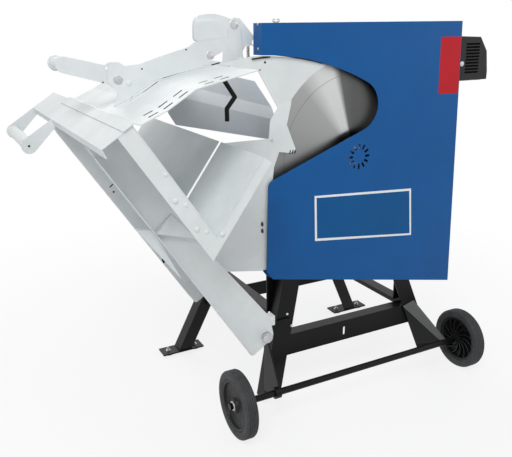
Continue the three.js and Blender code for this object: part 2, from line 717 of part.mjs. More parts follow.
function statorHousing() {
  const [front, back] = [MOTOR_FRONT_Y, MOTOR_BACK_Y];
  const inner = MOTOR_RADIUS - MOTOR_WALL;
  const bodyTube = turnedY(
    [[inner, front], [MOTOR_RADIUS, front], [MOTOR_RADIUS, back], [inner, back], [inner, front]],
    WHEEL_STEPS,
  );
  const fins = [];
  for (let i = 0; i < FIN_COUNT; i += 1) {
    const turn = (360 * i) / FIN_COUNT;
    const fin = boxOf(
      MOTOR_RADIUS - FIN_WIDTH, MOTOR_RADIUS + FIN_HEIGHT, front, back, -FIN_WIDTH / 2, FIN_WIDTH / 2,
    );
    fins.push(fin.rotate([0, turn, 0]));
  }
  const half = TERMINAL_HEIGHT / 2;
  const padBack = TERMINAL_FRONT_Y + TERMINAL_WIDTH;
  const pad = boxOf(
    inner + MOTOR_WALL / 2, MOTOR_RADIUS + FIN_HEIGHT, TERMINAL_FRONT_Y, padBack, -half, half,
  );
  const clear = boxOf(
    MOTOR_RADIUS + FIN_HEIGHT - FIT, MOTOR_RADIUS * 2, TERMINAL_FRONT_Y, padBack, -half, half,
  );
  return join([bodyTube, statorCore(), ...fins]).subtract(clear).add(pad);
}

function rearShield() {
  const bore = ARBOR_RADIUS + 2 * FIT;
  const seat = MOTOR_BACK_Y - BEARING_WIDTH / 2;
  const pocket = BEARING_RADIUS + FIT;
  const front = MOTOR_BACK_Y + FIT;
  return turnedY([
    [pocket, seat], [pocket + MOTOR_WALL, seat], [pocket + MOTOR_WALL, front], [MOTOR_RADIUS, front],
    [MOTOR_RADIUS, MOTOR_END_Y], [bore, MOTOR_END_Y], [bore, seat + BEARING_WIDTH + FIT],
    [pocket, seat + BEARING_WIDTH + FIT], [pocket, seat],
  ]);
}

function bearing(front) {
  const bore = ARBOR_RADIUS + FIT;
  const back = front + BEARING_WIDTH;
  return turnedY([
    [bore, front], [BEARING_RADIUS, front], [BEARING_RADIUS, back], [bore, back], [bore, front],
  ]);
}

function fanCover() {
  const outer = MOTOR_RADIUS + FIN_HEIGHT;
  const inner = outer - COVER_SHEET;
  const front = MOTOR_BACK_Y + FIT;
  const back = FAN_COVER_BACK_Y;
  const crown = outer - MOTOR_WALL;
  const cup = turnedY([
    [inner, front], [outer, front], [outer, back - MOTOR_WALL], [crown, back], [0, back], [
      0, back - COVER_SHEET,
    ],
    [crown - COVER_SHEET, back - COVER_SHEET], [inner, back - MOTOR_WALL - COVER_SHEET], [inner, front],
  ], WHEEL_STEPS);
  const slots = [];
  for (let i = 0; i < COVER_VENTS; i += 1) {
    const slot = boxOf(
      COVER_VENT_INNER, crown - MOTOR_WALL, back - 2 * COVER_SHEET, back + CUT, -FIN_WIDTH, FIN_WIDTH,
    );
    slots.push(slot.rotate([0, (360 * i) / COVER_VENTS, 0]));
  }
  return cut(cup, slots);
}

function terminalBox() {
  const left = MOTOR_RADIUS + FIN_HEIGHT + FIT;
  const half = TERMINAL_HEIGHT / 2;
  const [front, back] = [TERMINAL_FRONT_Y, TERMINAL_FRONT_Y + TERMINAL_WIDTH];
  const outline = [
    [front, -half, MOTOR_WALL], [back, -half, MOTOR_WALL], [back, half, MOTOR_WALL],
    [front, half, MOTOR_WALL],
  ];
  const box = plateX(outline, left, left + TERMINAL_DEPTH);
  const gland = rodZ(
    [left + TERMINAL_DEPTH / 2, (front + back) / 2], MOTOR_WALL, -half - TERMINAL_DEPTH / 2,
    -half + MOTOR_WALL, SMALL_STEPS,
  );
  return box.add(gland);
}

function addMotor() {
  const grey = () => material(MOTOR_GREY, 0.5, 0.5);
  const steel = () => material(STEEL, 0.3, 0.9);
  const motor = new THREE.Group();
  motor.position.set(0, 0, BLADE_CENTRE_Z);
  saw.add(motor);
  addPiece(motor, 'motor_front_shield', motorFlange(), grey());
  addPiece(motor, 'motor_housing', statorHousing(), grey());
  addPiece(motor, 'motor_rear_shield', rearShield(), grey());
  addPiece(motor, 'front_bearing', bearing(MOTOR_FRONT_Y), steel());
  addPiece(motor, 'rear_bearing', bearing(MOTOR_BACK_Y - BEARING_WIDTH / 2), steel());
  addPiece(motor, 'motor_fan_cover', fanCover(), painted.black());
  addPiece(motor, 'terminal_box', terminalBox(), painted.black());
}

// Rocker. Every point is measured from the pivot.

const troughBack = TROUGH_FAR_Y;
const sheetNear = TROUGH_NEAR_Y + ROCKER_SHEET + FIT;

function troughLeft() {
  const line = [TROUGH_BOTTOM, TROUGH_LEFT_TOP, TOP_PLATE_END, TOP_LIP_END];
  const sheet = plateY(bentSheet(line, ROCKER_SHEET), sheetNear, troughBack);
  const slotTop = TROUGH_BOTTOM[1] + BLADE_SLOT_RISE;
  const slotLeft = lineAtZ(TROUGH_BOTTOM, TROUGH_LEFT_TOP, slotTop);
  const slot = boxOf(
    slotLeft - FRAME_WIDTH, TROUGH_BOTTOM[0] + FRAME_WIDTH, BLADE_SLOT_FRONT_Y, BLADE_SLOT_BACK_Y,
    TROUGH_BOTTOM[1] - FRAME_WIDTH, slotTop,
  );
  return sheet.subtract(slot);
}

// The right plate starts beside the left sheet's lower edge.
function rightPlateLine() {
  const spread = angleOf(TROUGH_BOTTOM, TROUGH_LEFT_TOP) - angleOf(TROUGH_BOTTOM, TROUGH_RIGHT_TOP);
  const length = Math.hypot(TROUGH_RIGHT_TOP[0] - TROUGH_BOTTOM[0], TROUGH_RIGHT_TOP[1] - TROUGH_BOTTOM[1]);
  const start = along(TROUGH_BOTTOM, TROUGH_RIGHT_TOP, FIT / Math.sin(spread) / length);
  return [start, TROUGH_RIGHT_TOP];
}

function troughRight(front, back) {
  return plateY(bentSheet(rightPlateLine(), -ROCKER_SHEET), front, back);
}

function endFrame() {
  const leftOut = beside([TROUGH_BOTTOM, TROUGH_LEFT_TOP], ROCKER_SHEET);
  const rightOut = beside([TROUGH_BOTTOM, TROUGH_RIGHT_TOP], -ROCKER_SHEET);
  const outer = beside([TROUGH_LEFT_TOP, TROUGH_BOTTOM, TROUGH_RIGHT_TOP], -ROCKER_SHEET - FRAME_WIDTH);
  const line = [
    leftOut[1], TROUGH_LEFT_TOP, TROUGH_BOTTOM, TROUGH_RIGHT_TOP, rightOut[1], outer[2], outer[1],
    outer[0],
  ];
  return plateY(line, TROUGH_NEAR_Y, TROUGH_NEAR_Y + ROCKER_SHEET);
}

function armOutline() {
  const under = beside([TROUGH_BOTTOM, TROUGH_LEFT_TOP, TOP_PLATE_END, TOP_LIP_END], ROCKER_SHEET + FIT);
  const belowLip = TOP_LIP_END[1] - ROCKER_SHEET;
  return [
    [...ARM_CORNER, ARM_CORNER_RADIUS], ARM_RIGHT_LOW, ARM_RIGHT_HIGH, ...under, [under[3][0], belowLip],
    armEdgeTop(), [...ARM_EDGE_BOTTOM, ARM_CORNER_RADIUS / 2],
  ];
}

function armEdgeTop() {
  const belowLip = TOP_LIP_END[1] - ROCKER_SHEET;
  return [lineAtZ(ARM_EDGE_BOTTOM, ARM_EDGE_TOP, belowLip), belowLip];
}

function arm(front, flangeBack, extras) {
  const plate = plateY(armOutline(), front, front + ROCKER_SHEET);
  const edge = armEdgeTop();
  const foot = along(ARM_EDGE_BOTTOM, edge, ARM_FLANGE_START_SHARE);
  const end = along(ARM_EDGE_BOTTOM, edge, 1 - ARM_FLANGE_START_SHARE);
  const [low, high] = [Math.min(front, flangeBack), Math.max(front + ROCKER_SHEET, flangeBack)];
  const flange = plateY(bentSheet([foot, end], -ROCKER_SHEET), low, high);
  const hole = rodY([0, 0], PIVOT_RADIUS + FIT, front - CUT, front + ROCKER_SHEET + CUT);
  return join([plate, flange, ...extras]).subtract(hole);
}

function frontArm() {
  const [x, z] = STOP_LUG;
  const half = STOP_LUG_SIZE / 2;
  const lugFront = ARM_FRONT_Y + ROCKER_SHEET / 2;
  const lug = boxOf(x - STOP_LUG_SIZE, x, lugFront, lugFront + STOP_LUG_DEPTH, z - half, z + half);
  return arm(ARM_FRONT_Y, ARM_FRONT_Y - ARM_FLANGE + ROCKER_SHEET, [lug, armGusset()]);
}

function rearArm() {
  return arm(ARM_REAR_Y, ARM_REAR_Y + ARM_FLANGE, []);
}

// The joggle where the arm's upper part steps back from its lower part.
function armGusset() {
  const top = [GUSSET_OUTER, GUSSET_LOWER, GUSSET_UPPER];
  return plateY(top, ARM_FRONT_Y - ROCKER_SHEET, ARM_FRONT_Y + ROCKER_SHEET / 2);
}

function bladeGuard() {
  const placed = ([x, z]) => [x * guardReach, z * guardReach];
  const right = beside([TROUGH_BOTTOM, TROUGH_RIGHT_TOP], -ROCKER_SHEET - FIT);
  const [nose, centre] = [placed(GUARD_NOSE_SHARES), placed(GUARD_HOLLOW_SHARES)];
  const lip = arc(
    [0, 0], guardReach, angleOf([0, 0], nose), angleOf([0, 0], placed(GUARD_LIP_SHARES)), LIP_STEPS,
  );
  const hollowStart = angleOf(centre, placed(GUARD_HOLLOW_END_SHARES));
  const reach = Math.hypot(nose[0] - centre[0], nose[1] - centre[1]);
  const hollow = arc(centre, reach, hollowStart, angleOf(centre, nose), LIP_STEPS).slice(0, -1);
  const edge = GUARD_EDGE_SHARES.map(placed).reverse();
  const window = GUARD_WINDOW_SHARES.map(placed).reverse();
  const outline = [
    ...lip, placed(GUARD_END_SHARES), ...window, right[1], right[0],
    ...GUARD_HEEL.slice().reverse(), ...edge, ...hollow,
  ];
  return plateY(outline, GUARD_FRONT_Y, GUARD_FRONT_Y + ROCKER_SHEET);
}

// The largest log lies against both sides of the trough.
function logCentre() {
  const left = angleOf(TROUGH_BOTTOM, TROUGH_LEFT_TOP);
  const right = angleOf(TROUGH_BOTTOM, TROUGH_RIGHT_TOP);
  const height = LOG_RADIUS / Math.sin((left - right) / 2);
  const middle = (left + right) / 2;
  return [TROUGH_BOTTOM[0] + height * Math.cos(middle), TROUGH_BOTTOM[1] + height * Math.sin(middle)];
}

function rearGuardOutline() {
  const log = logCentre();
  const above = angleOf(log, REAR_GUARD_LEFT);
  const foot = [TROUGH_RIGHT_TOP[0] + ROCKER_SHEET, TROUGH_RIGHT_TOP[1] + ROCKER_SHEET];
  const beyondFoot = angleOf(log, foot) + REAR_GUARD_FOOT_TURN;
  const round = arc(log, LOG_RADIUS + LOG_CLEARANCE, beyondFoot, above, LIP_STEPS);
  const underRoof = beside(roofLine(), -ROOF_SHEET - FIT).slice(-2);
  return [...underRoof, ...REAR_GUARD_RIGHT, foot, ...round, REAR_GUARD_LEFT];
}

// A strip with two bends, trimmed to the outline between the roof and the largest log.
function rearGuard() {
  const [start, end] = REAR_GUARD_FOLD;
  const back = REAR_GUARD_Y;
  const front = back - REAR_GUARD_STEP_Y;
  const section = [
    [back, REAR_GUARD_UPPER], [back, 0], [front, -REAR_GUARD_BAND], [
      front, -REAR_GUARD_BAND - REAR_GUARD_LOWER,
    ],
  ];
  const length = Math.hypot(end[0] - start[0], end[1] - start[1]);
  const strip = plateX(bentSheet(section, ROCKER_SHEET), 0, length);
  const turn = (-angleOf(start, end) * 180) / Math.PI;
  const placed = strip.rotate([0, turn, 0]).translate([start[0], 0, start[1]]);
  return placed.intersect(plateY(rearGuardOutline(), front - CUT, back + ROCKER_SHEET + CUT));
}

// The roof rests on the top plate of the trough's left sheet and rises to the right from there.
function roofLine() {
  const span = Math.hypot(TOP_PLATE_END[0] - TROUGH_LEFT_TOP[0], TOP_PLATE_END[1] - TROUGH_LEFT_TOP[1]);
  const [end, corner] = beside([TOP_PLATE_END, TROUGH_LEFT_TOP], ROOF_SHEET + FIT);
  const start = along(corner, end, ROOF_SEAT / span);
  const bend = along(corner, end, -ROOF_BEND_PAST / span);
  return [start, bend, ...ROOF_BEND_POINTS];
}

function roof() {
  const sheet = plateY(bentSheet(roofLine(), -ROOF_SHEET), TROUGH_NEAR_Y, ROOF_BACK_Y);
  const [low, high] = [TROUGH_BOTTOM[1], mouthSwing];
  const slots = [boxOf(ROOF_SLOT_START_X, 0, BLADE_SLOT_FRONT_Y, BLADE_SLOT_BACK_Y, low, high)];
  const [long, wide] = [VENT_SLOT_LENGTH / 2, VENT_SLOT_WIDTH / 2];
  VENT_SLOT_X.forEach((x) => VENT_ROW_Y.forEach((y) => {
    slots.push(boxOf(x - long, x + long, y - wide, y + wide, low, high));
  }));
  return cut(sheet, slots);
}

function addRocker() {
  addPiece(rocker, 'trough_left_sheet', troughLeft(), painted.grey());
  addPiece(rocker, 'trough_right_plate_near', troughRight(sheetNear, BLADE_SLOT_FRONT_Y), painted.grey());
  addPiece(rocker, 'trough_right_plate_far', troughRight(BLADE_SLOT_BACK_Y, troughBack), painted.grey());
  addPiece(rocker, 'trough_end_frame', endFrame(), painted.grey());
  addPiece(rocker, 'front_arm_sheet', frontArm(), painted.grey());
  addPiece(rocker, 'rear_arm_sheet', rearArm(), painted.grey());
  addPiece(rocker, 'blade_guard_plate', bladeGuard(), painted.grey());
  addPiece(rocker, 'rear_guard_sheet', rearGuard(), painted.grey());
  addPiece(rocker, 'roof_sheet', roof(), painted.grey());
}

// Upright plate, cover, claw and handles, all carried by the roof.

function uprightPlate() {
  const line = beside(roofLine(), FIT);
  const foot = line.slice(ROOF_FOOT_BEND);
  const start = along(line[ROOF_FOOT_BEND - 1], line[ROOF_FOOT_BEND], UPRIGHT_START_SHARE);
  const outline = [
    start, ...foot, ...UPRIGHT_TOE, ...UPRIGHT_POST, ...UPRIGHT_TOP.slice().reverse(), ...UPRIGHT_LEFT,
  ];
  const back = UPRIGHT_FRONT_Y + UPRIGHT_SHEET;
  const plate = plateY(outline, UPRIGHT_FRONT_Y, back);
  const [front, behind] = [UPRIGHT_FRONT_Y - CUT, back + CUT];
  return cut(
    plate,
    [
      plateY(UPRIGHT_WINDOW, front, behind), rodY(HANDLE_BOLT, HANDLE_PIN_RADIUS + FIT, front, behind),
      rodY(CLAW_PIVOT, CLAW_PIN_RADIUS + FIT, front, behind),
    ],
  );
}

// A plate behind the claw, with a low rim along its top and left edges and a seat on the upright plate.
function roundedCover() {
  const seatFront = UPRIGHT_FRONT_Y + UPRIGHT_SHEET + FIT;
  const front = seatFront + CLAW_SHEET + FIT;
  const outline = rounded(COVER_OUTLINE);
  const face = plateY(outline, front, front + COVER_SHEET_METAL);
  const rim = plateY(bentSheet(outline.slice(1, -1), -COVER_SHEET_METAL), front, front + COVER_DEPTH);
  return join([face, rim, plateY(COVER_SEAT, seatFront, front + COVER_SHEET_METAL / 2)]);
}

// A pin turned in one piece with the lever behind the upright plate, with a low head in front.
function pivotPin(centre, radius, headRadius, back) {
  const headBack = UPRIGHT_FRONT_Y - FIT;
  const pin = rodY(centre, radius, headBack - PIN_HEAD / 2, back, SMALL_STEPS);
  return pin.add(rodY(centre, headRadius, headBack - PIN_HEAD, headBack, SMALL_STEPS));
}

function clawLever() {
  const front = UPRIGHT_FRONT_Y + UPRIGHT_SHEET + FIT;
  const plate = plateY(CLAW_OUTLINE, front, front + CLAW_SHEET);
  const lugHole = rodY(
    CLAW_LUG, CLAW_LUG_RADIUS - CLAW_SHEET, front - CUT, front + CLAW_SHEET + CUT, SMALL_STEPS,
  );
  const lug = rodY(CLAW_LUG, CLAW_LUG_RADIUS, front, front + CLAW_SHEET, SMALL_STEPS);
  const pin = pivotPin(CLAW_PIVOT, CLAW_PIN_RADIUS, CLAW_HEAD_RADIUS, front + CLAW_SHEET / 2);
  return join([plate, lug]).subtract(lugHole).add(pin);
}

// The rod is a chain of round bars with balls at its bends.
function clawRod() {
  const y = UPRIGHT_FRONT_Y + UPRIGHT_SHEET + FIT + CLAW_SHEET + FIT + CLAW_ROD_RADIUS;
  const pieces = [];
  for (let i = 1; i < CLAW_ROD_POINTS.length; i += 1) {
    const [a, b] = [CLAW_ROD_POINTS[i - 1], CLAW_ROD_POINTS[i]].map(([x, z]) => new THREE.Vector3(x, y, z));
    const bar = new THREE.CylinderGeometry(CLAW_ROD_RADIUS, CLAW_ROD_RADIUS, a.distanceTo(b), 10);
    const turn = new THREE.Quaternion().setFromUnitVectors(
      new THREE.Vector3(0, 1, 0), b.clone().sub(a).normalize(),
    );
    const middle = a.clone().add(b).multiplyScalar(1 / 2);
    pieces.push(solid(bar.applyQuaternion(turn).translate(middle.x, middle.y, middle.z)));
    if (i > 1) pieces.push(
      solid(new THREE.SphereGeometry(CLAW_ROD_RADIUS, 10, 6).translate(a.x, a.y, a.z)),
    );
  }
  return join(pieces);
}

const springY = UPRIGHT_FRONT_Y + UPRIGHT_SHEET;
const springLow = UPRIGHT_TOE[3][1] + FIT;
const springHigh = CLAW_OUTLINE[5][1] - FIT - SPRING_WIRE;

class Coil extends THREE.Curve {
  getPoint(t) {
    const angle = 2 * Math.PI * SPRING_CURLS * t;
    const [x, y] = [SPRING_RADIUS * Math.cos(angle), SPRING_RADIUS * Math.sin(angle)];
    return new THREE.Vector3(SPRING_X + x, springY + y, springLow + (springHigh - springLow) * t);
  }
}

function clawSpring() {
  const steps = SPRING_CURLS * CURL_STEPS;
  const wire = arc([0, 0], SPRING_WIRE, 0, 2 * Math.PI, CURL_SIDES).slice(0, CURL_SIDES);
  const ring = new THREE.Shape(wire.map(([a, b]) => new THREE.Vector2(a, b)));
  const coil = new Coil();
  reportGap(coil, steps);
  return solid(new THREE.ExtrudeGeometry(ring, { steps, extrudePath: coil, bevelEnabled: false }));
}

// The least gap between one curl and the next, measured on points of the wire's middle.
function reportGap(coil, steps) {
  const points = coil.getPoints(steps);
  let least = Infinity;
  for (let i = 0; i < points.length; i += 1) {
    const next = i + CURL_STEPS - 2;
    for (let j = next; j < points.length; j += 1) least = Math.min(least, points[i].distanceTo(points[j]));
  }
  console.log(`claw spring: least gap to itself ${(least - 2 * SPRING_WIRE).toFixed(2)} mm`);
}

// An outline round two circles of different sizes.
function linkOutline(a, radiusA, b, radiusB) {
  const direction = angleOf(a, b);
  const spread = Math.acos((radiusA - radiusB) / Math.hypot(b[0] - a[0], b[1] - a[1]));
  const endB = arc(b, radiusB, direction - spread, direction + spread, LINK_STEPS);
  const endA = arc(a, radiusA, direction + spread, direction + 2 * Math.PI - spread, LINK_STEPS);
  return [...endB, ...endA];
}

function upperHandle() {
  const front = UPRIGHT_FRONT_Y + UPRIGHT_SHEET + FIT;
  const back = front + HANDLE_SHEET;
  const rollBack = back + UPPER_ROLL_LENGTH;
  const roll = [UPPER_ROLL[0] - HANDLE_BOLT[0], UPPER_ROLL[1] - HANDLE_BOLT[1]];
  const plate = plateY(linkOutline([0, 0], UPPER_HUB_RADIUS, roll, UPPER_EAR_RADIUS), front, back);
  const ear = plateY(UPPER_TOP_EAR, front, back);
  const [slotStart, slotEnd] = UPPER_EAR_SLOT;
  const slot = linkOutline(slotStart, UPPER_EAR_SLOT_RADIUS, slotEnd, UPPER_EAR_SLOT_RADIUS);
  const grip = rodY(roll, UPPER_ROLL_RADIUS, back - HANDLE_SHEET / 2, rollBack, MIDDLE_STEPS);
  const farEar = rodY(roll, UPPER_EAR_RADIUS, rollBack - FIT, rollBack + HANDLE_SHEET, MIDDLE_STEPS);
  const pin = pivotPin([0, 0], HANDLE_PIN_RADIUS, HANDLE_HEAD_RADIUS, front + HANDLE_SHEET / 2);
  return join([plate, ear, grip, farEar, pin]).subtract(plateY(slot, front - CUT, back + CUT));
}

function lowerHandle() {
  const [top, bottom] = beside([TOP_PLATE_END, TOP_LIP_END], -FIT);
  const ears = [LOWER_EAR_NEAR_Y, LOWER_EAR_FAR_Y - HANDLE_SHEET].map((front) => {
    const direction = angleOf(LOWER_ROLL, along(top, bottom, 1 / 2));
    const round = arc(
      LOWER_ROLL, LOWER_EAR_RADIUS, direction + Math.PI / 2, direction + 1.5 * Math.PI, LINK_STEPS,
    );
    return plateY([...round, bottom, top], front, front + HANDLE_SHEET);
  });
  const grip = rodY(
    LOWER_ROLL, LOWER_ROLL_RADIUS, LOWER_EAR_NEAR_Y + FIT, LOWER_EAR_FAR_Y - FIT, MIDDLE_STEPS,
  );
  return join([...ears, grip]);
}

// Frame.

const rearPlateTop = PAD_HEIGHT + FIT + FOOT_PLATE_THICKNESS;
const legBottom = rearPlateTop + FIT;

function rearLegY(z) {
  return REAR_LEG_FRONT_Y + (REAR_LEG_SPREAD_Y * (LEFT_RAIL_TOP_Z - z)) / (LEFT_RAIL_TOP_Z - legBottom);
}

function frontLeftLeg() {
  const section = angleSection(LEG_WIDTH, SHELL_DEPTH - legFront);
  const [foot, top] = [LEFT_LEG_FOOT, LEFT_LEG_TOP];
  const bar = leaningBar(section, [foot[0], legFront], [top[0], legFront], foot[1], top[1]);
  const relief = boxOf(
    foot[0], top[0] + LEG_WIDTH + CUT, legFront + ANGLE, SHELL_DEPTH + CUT, LEFT_LEG_SIDE_TOP_Z,
    top[1] + CUT,
  );
  return bar.subtract(relief);
}

function frontRightLeg() {
  const section = angleSection(-LEG_WIDTH, SHELL_DEPTH - legFront);
  const [foot, top] = [RIGHT_LEG_FOOT, RIGHT_LEG_TOP];
  return leaningBar(section, [foot[0], legFront], [top[0], legFront], foot[1], top[1]);
}

function rearLeg(width, footX, topX, topZ) {
  const section = angleSection(width, REAR_LEG_WIDTH);
  return leaningBar(section, [footX, rearLegY(legBottom)], [topX, rearLegY(topZ)], legBottom, topZ);
}

function frontRail() {
  const front = legFront + ANGLE + FIT;
  const [low, high] = [FRONT_RAIL_LOW_Z, FRONT_RAIL_TOP_Z];
  const left = lineAtZ(LEFT_LEG_FOOT, LEFT_LEG_TOP, high) + ANGLE + FIT;
  const right = lineAtZ(RIGHT_LEG_FOOT, RIGHT_LEG_TOP, high) - ANGLE - FIT;
  const section = [
    [front, low], [front + ANGLE, low], [front + ANGLE, high - ANGLE], [SHELL_DEPTH, high - ANGLE],
    [SHELL_DEPTH, high], [front, high],
  ];
  const middle = (low + high - ANGLE) / 2;
  const slot = roundSlot([RAIL_SLOT_X, middle], RAIL_SLOT_WIDTH, RAIL_SLOT_LENGTH);
  return plateX(section, left, right).subtract(plateY(slot, front - CUT, front + ANGLE + CUT));
}

function leftRail() {
  const [left, high] = [LEFT_RAIL_X, LEFT_RAIL_TOP_Z];
  const low = high - RAIL_LEG;
  const section = [
    [left, low], [left + ANGLE, low], [left + ANGLE, high - ANGLE], [left + RAIL_LEG, high - ANGLE],
    [left + RAIL_LEG, high], [left, high],
  ];
  const bar = plateY(section, SHELL_DEPTH + FIT, REAR_LEG_FRONT_Y - FIT);
  const back = REAR_BRACKET_FRONT_Y + PIVOT_BRACKET_THICKNESS;
  const eye = rodY([PIVOT_X, PIVOT_Z], PIVOT_BRACKET_RADIUS, REAR_BRACKET_FRONT_Y, back);
  const tongue = boxOf(
    PIVOT_X, left + ANGLE / 2, REAR_BRACKET_FRONT_Y, back, PIVOT_Z, PIVOT_Z + PIVOT_BRACKET_RADIUS,
  );
  const bore = rodY([PIVOT_X, PIVOT_Z], PIVOT_RADIUS + FIT, REAR_BRACKET_FRONT_Y - CUT, back + CUT);
  return join([bar, eye, tongue]).subtract(bore);
}

function rightRail() {
  const [left, high] = [RIGHT_RAIL_X, RIGHT_RAIL_TOP_Z];
  const right = left + RAIL_LEG;
  const low = high - RAIL_LEG;
  const section = [
    [right, low], [right, high], [left, high], [left, high - ANGLE], [right - ANGLE, high - ANGLE], [
      right - ANGLE, low,
    ],
  ];
  return plateY(section, SHELL_DEPTH + FIT, rearLegY(high) - FIT);
}

function rearRail() {
  const [low, high] = [REAR_RAIL_LOW_Z, REAR_RAIL_TOP_Z];
  const back = rearLegY(high) - FIT;
  const left = lineAtZ([LEFT_REAR_FOOT_X, legBottom], [LEFT_REAR_TOP_X, LEFT_RAIL_TOP_Z], high) + ANGLE;
  const right = lineAtZ([RIGHT_REAR_FOOT_X, legBottom], [RIGHT_REAR_TOP_X, RIGHT_RAIL_TOP_Z], high) - ANGLE;
  return boxOf(left, right, back - ANGLE, back, low, high);
}

function pivotBracket() {
  const back = legFront - FIT;
  const front = back - PIVOT_BRACKET_THICKNESS;
  const eye = rodY([PIVOT_X, PIVOT_Z], PIVOT_BRACKET_RADIUS, front, back);
  const plate = boxOf(
    PIVOT_X, PIVOT_BRACKET_END_X, front, back, PIVOT_Z - PIVOT_BRACKET_RADIUS,
    PIVOT_Z + PIVOT_BRACKET_RADIUS,
  );
  return eye.add(plate).subtract(rodY([PIVOT_X, PIVOT_Z], PIVOT_RADIUS + FIT, front - CUT, back + CUT));
}

function pivotShaft() {
  const head = ARM_FRONT_Y - FIT;
  const end = ARM_REAR_Y + ROCKER_SHEET + FIT;
  const shaft = turnedY([
    [0, head - PIVOT_HEAD], [PIVOT_HEAD_RADIUS, head - PIVOT_HEAD], [PIVOT_HEAD_RADIUS, head], [
      PIVOT_RADIUS, head,
    ],
    [PIVOT_RADIUS, end], [PIVOT_WASHER_RADIUS, end], [PIVOT_WASHER_RADIUS, end + PIVOT_WASHER], [
      0, end + PIVOT_WASHER,
    ],
  ]);
  return shaft.translate([PIVOT_X, 0, PIVOT_Z]);
}

function uprightBar(left, bottom) {
  const front = rearShellBack + FIT;
  return boxOf(
    left, left + UPRIGHT_BAR_WIDTH, front, front + UPRIGHT_BAR_THICKNESS, bottom + FIT, UPRIGHT_BAR_TOP_Z,
  );
}

function footPlate(left) {
  const front = rearLegY(legBottom) - FOOT_PLATE_MARGIN;
  return boxOf(
    left, left + FOOT_PLATE_LENGTH, front, front + FOOT_PLATE_WIDTH, PAD_HEIGHT + FIT, rearPlateTop,
  );
}

function footPad(x) {
  const y = rearLegY(legBottom) - FOOT_PLATE_MARGIN + FOOT_PLATE_WIDTH / 2;
  return rodZ([x, y], PAD_RADIUS, 0, PAD_HEIGHT, MIDDLE_STEPS);
}

function addFrame() {
  addPiece(saw, 'front_left_leg', frontLeftLeg(), painted.black());
  addPiece(saw, 'front_right_leg', frontRightLeg(), painted.black());
  const leftLeg = rearLeg(REAR_LEG_WIDTH, LEFT_REAR_FOOT_X, LEFT_REAR_TOP_X, LEFT_RAIL_TOP_Z);
  const rightLeg = rearLeg(-REAR_LEG_WIDTH, RIGHT_REAR_FOOT_X, RIGHT_REAR_TOP_X, RIGHT_RAIL_TOP_Z);
  addPiece(saw, 'rear_left_leg', leftLeg, painted.black());
  addPiece(saw, 'rear_right_leg', rightLeg, painted.black());
  addPiece(saw, 'front_rail', frontRail(), painted.black());
  addPiece(saw, 'left_rail', leftRail(), painted.black());
  addPiece(saw, 'right_rail', rightRail(), painted.black());
  addPiece(saw, 'rear_rail', rearRail(), painted.black());
  addPiece(saw, 'front_pivot_bracket', pivotBracket(), painted.black());
  addPiece(saw, 'pivot_shaft', pivotShaft(), material(STEEL, 0.35, 0.9));
  addPiece(saw, 'left_housing_upright', uprightBar(LEFT_UPRIGHT_BAR_X, LEFT_RAIL_TOP_Z), painted.black());
  addPiece(
    saw, 'right_housing_upright', uprightBar(RIGHT_UPRIGHT_BAR_X, RIGHT_RAIL_TOP_Z), painted.black(),
  );
  [['left', LEFT_FOOT_PLATE_X], ['right', RIGHT_FOOT_PLATE_X]].forEach(([side, left]) => {
    addPiece(saw, `${side}_foot_plate`, footPlate(left), painted.black());
    addPiece(saw, `${side}_foot_pad_outer`, footPad(left + PAD_INSET), material(RUBBER, 0.8, 0));
    addPiece(
      saw, `${side}_foot_pad_inner`, footPad(left + FOOT_PLATE_LENGTH - PAD_INSET),
      material(RUBBER, 0.8, 0),
    );
  });
}

// Axle and wheels.

const hubHalf = WHEEL_WIDTH / 2 + HUB_PROUD;

function axleBoss(left) {
  const boss = rodX([AXLE_Y, WHEEL_RADIUS], AXLE_BOSS_RADIUS, left, left + AXLE_BOSS_LENGTH, MIDDLE_STEPS);
  const bore = rodX([AXLE_Y, WHEEL_RADIUS], AXLE_RADIUS + FIT, left - CUT, left + AXLE_BOSS_LENGTH + CUT);
  return { boss, bore };
}

function leftWheelBracket() {
  const back = legFront - FIT;
  const low = LEFT_BRACKET_FOOT_Z;
  const outline = [
    [AXLE_Y - AXLE_BOSS_RADIUS, WHEEL_RADIUS], [AXLE_Y, WHEEL_RADIUS - AXLE_BOSS_RADIUS], [back, low],
    [back, LEFT_BRACKET_TOP[1]], LEFT_BRACKET_TOP,
  ];
  const { boss, bore } = axleBoss(LEFT_BRACKET_X - AXLE_BOSS_LENGTH + WHEEL_BRACKET_SHEET);
  return join([plateX(outline, LEFT_BRACKET_X, LEFT_BRACKET_X + WHEEL_BRACKET_SHEET), boss]).subtract(bore);
}

// A flat plate through three corners, its thickness on the side that faces forward.
function flatPlate(a, b, c, thickness) {
  const u = b.clone().sub(a);
  const normal = u.clone().cross(c.clone().sub(a)).normalize();
  const across = u.clone().normalize();
  const down = normal.clone().cross(across);
  const at = (p) => [p.clone().sub(a).dot(across), p.clone().sub(a).dot(down)];
  const basis = new THREE.Matrix4().makeBasis(across, down, normal).setPosition(
    a.clone().addScaledVector(normal, -thickness),
  );
  return solid(extruded([at(a), at(b), at(c)], thickness).applyMatrix4(basis));
}

function rightWheelBracket() {
  const y = legFront - FIT;
  const [x0, x1] = RIGHT_BRACKET_TOP_X;
  const [z0, z1] = RIGHT_BRACKET_TOP_Z;
  const tip = new THREE.Vector3(
    RIGHT_BRACKET_X + AXLE_BOSS_LENGTH / 2, AXLE_Y - AXLE_RADIUS, WHEEL_RADIUS - FIT,
  );
  const plate = flatPlate(
    new THREE.Vector3(x0, y, z0), new THREE.Vector3(x1, y, z1), tip, WHEEL_BRACKET_SHEET,
  );
  const { boss, bore } = axleBoss(RIGHT_BRACKET_X);
  return join([plate, boss]).subtract(bore);
}

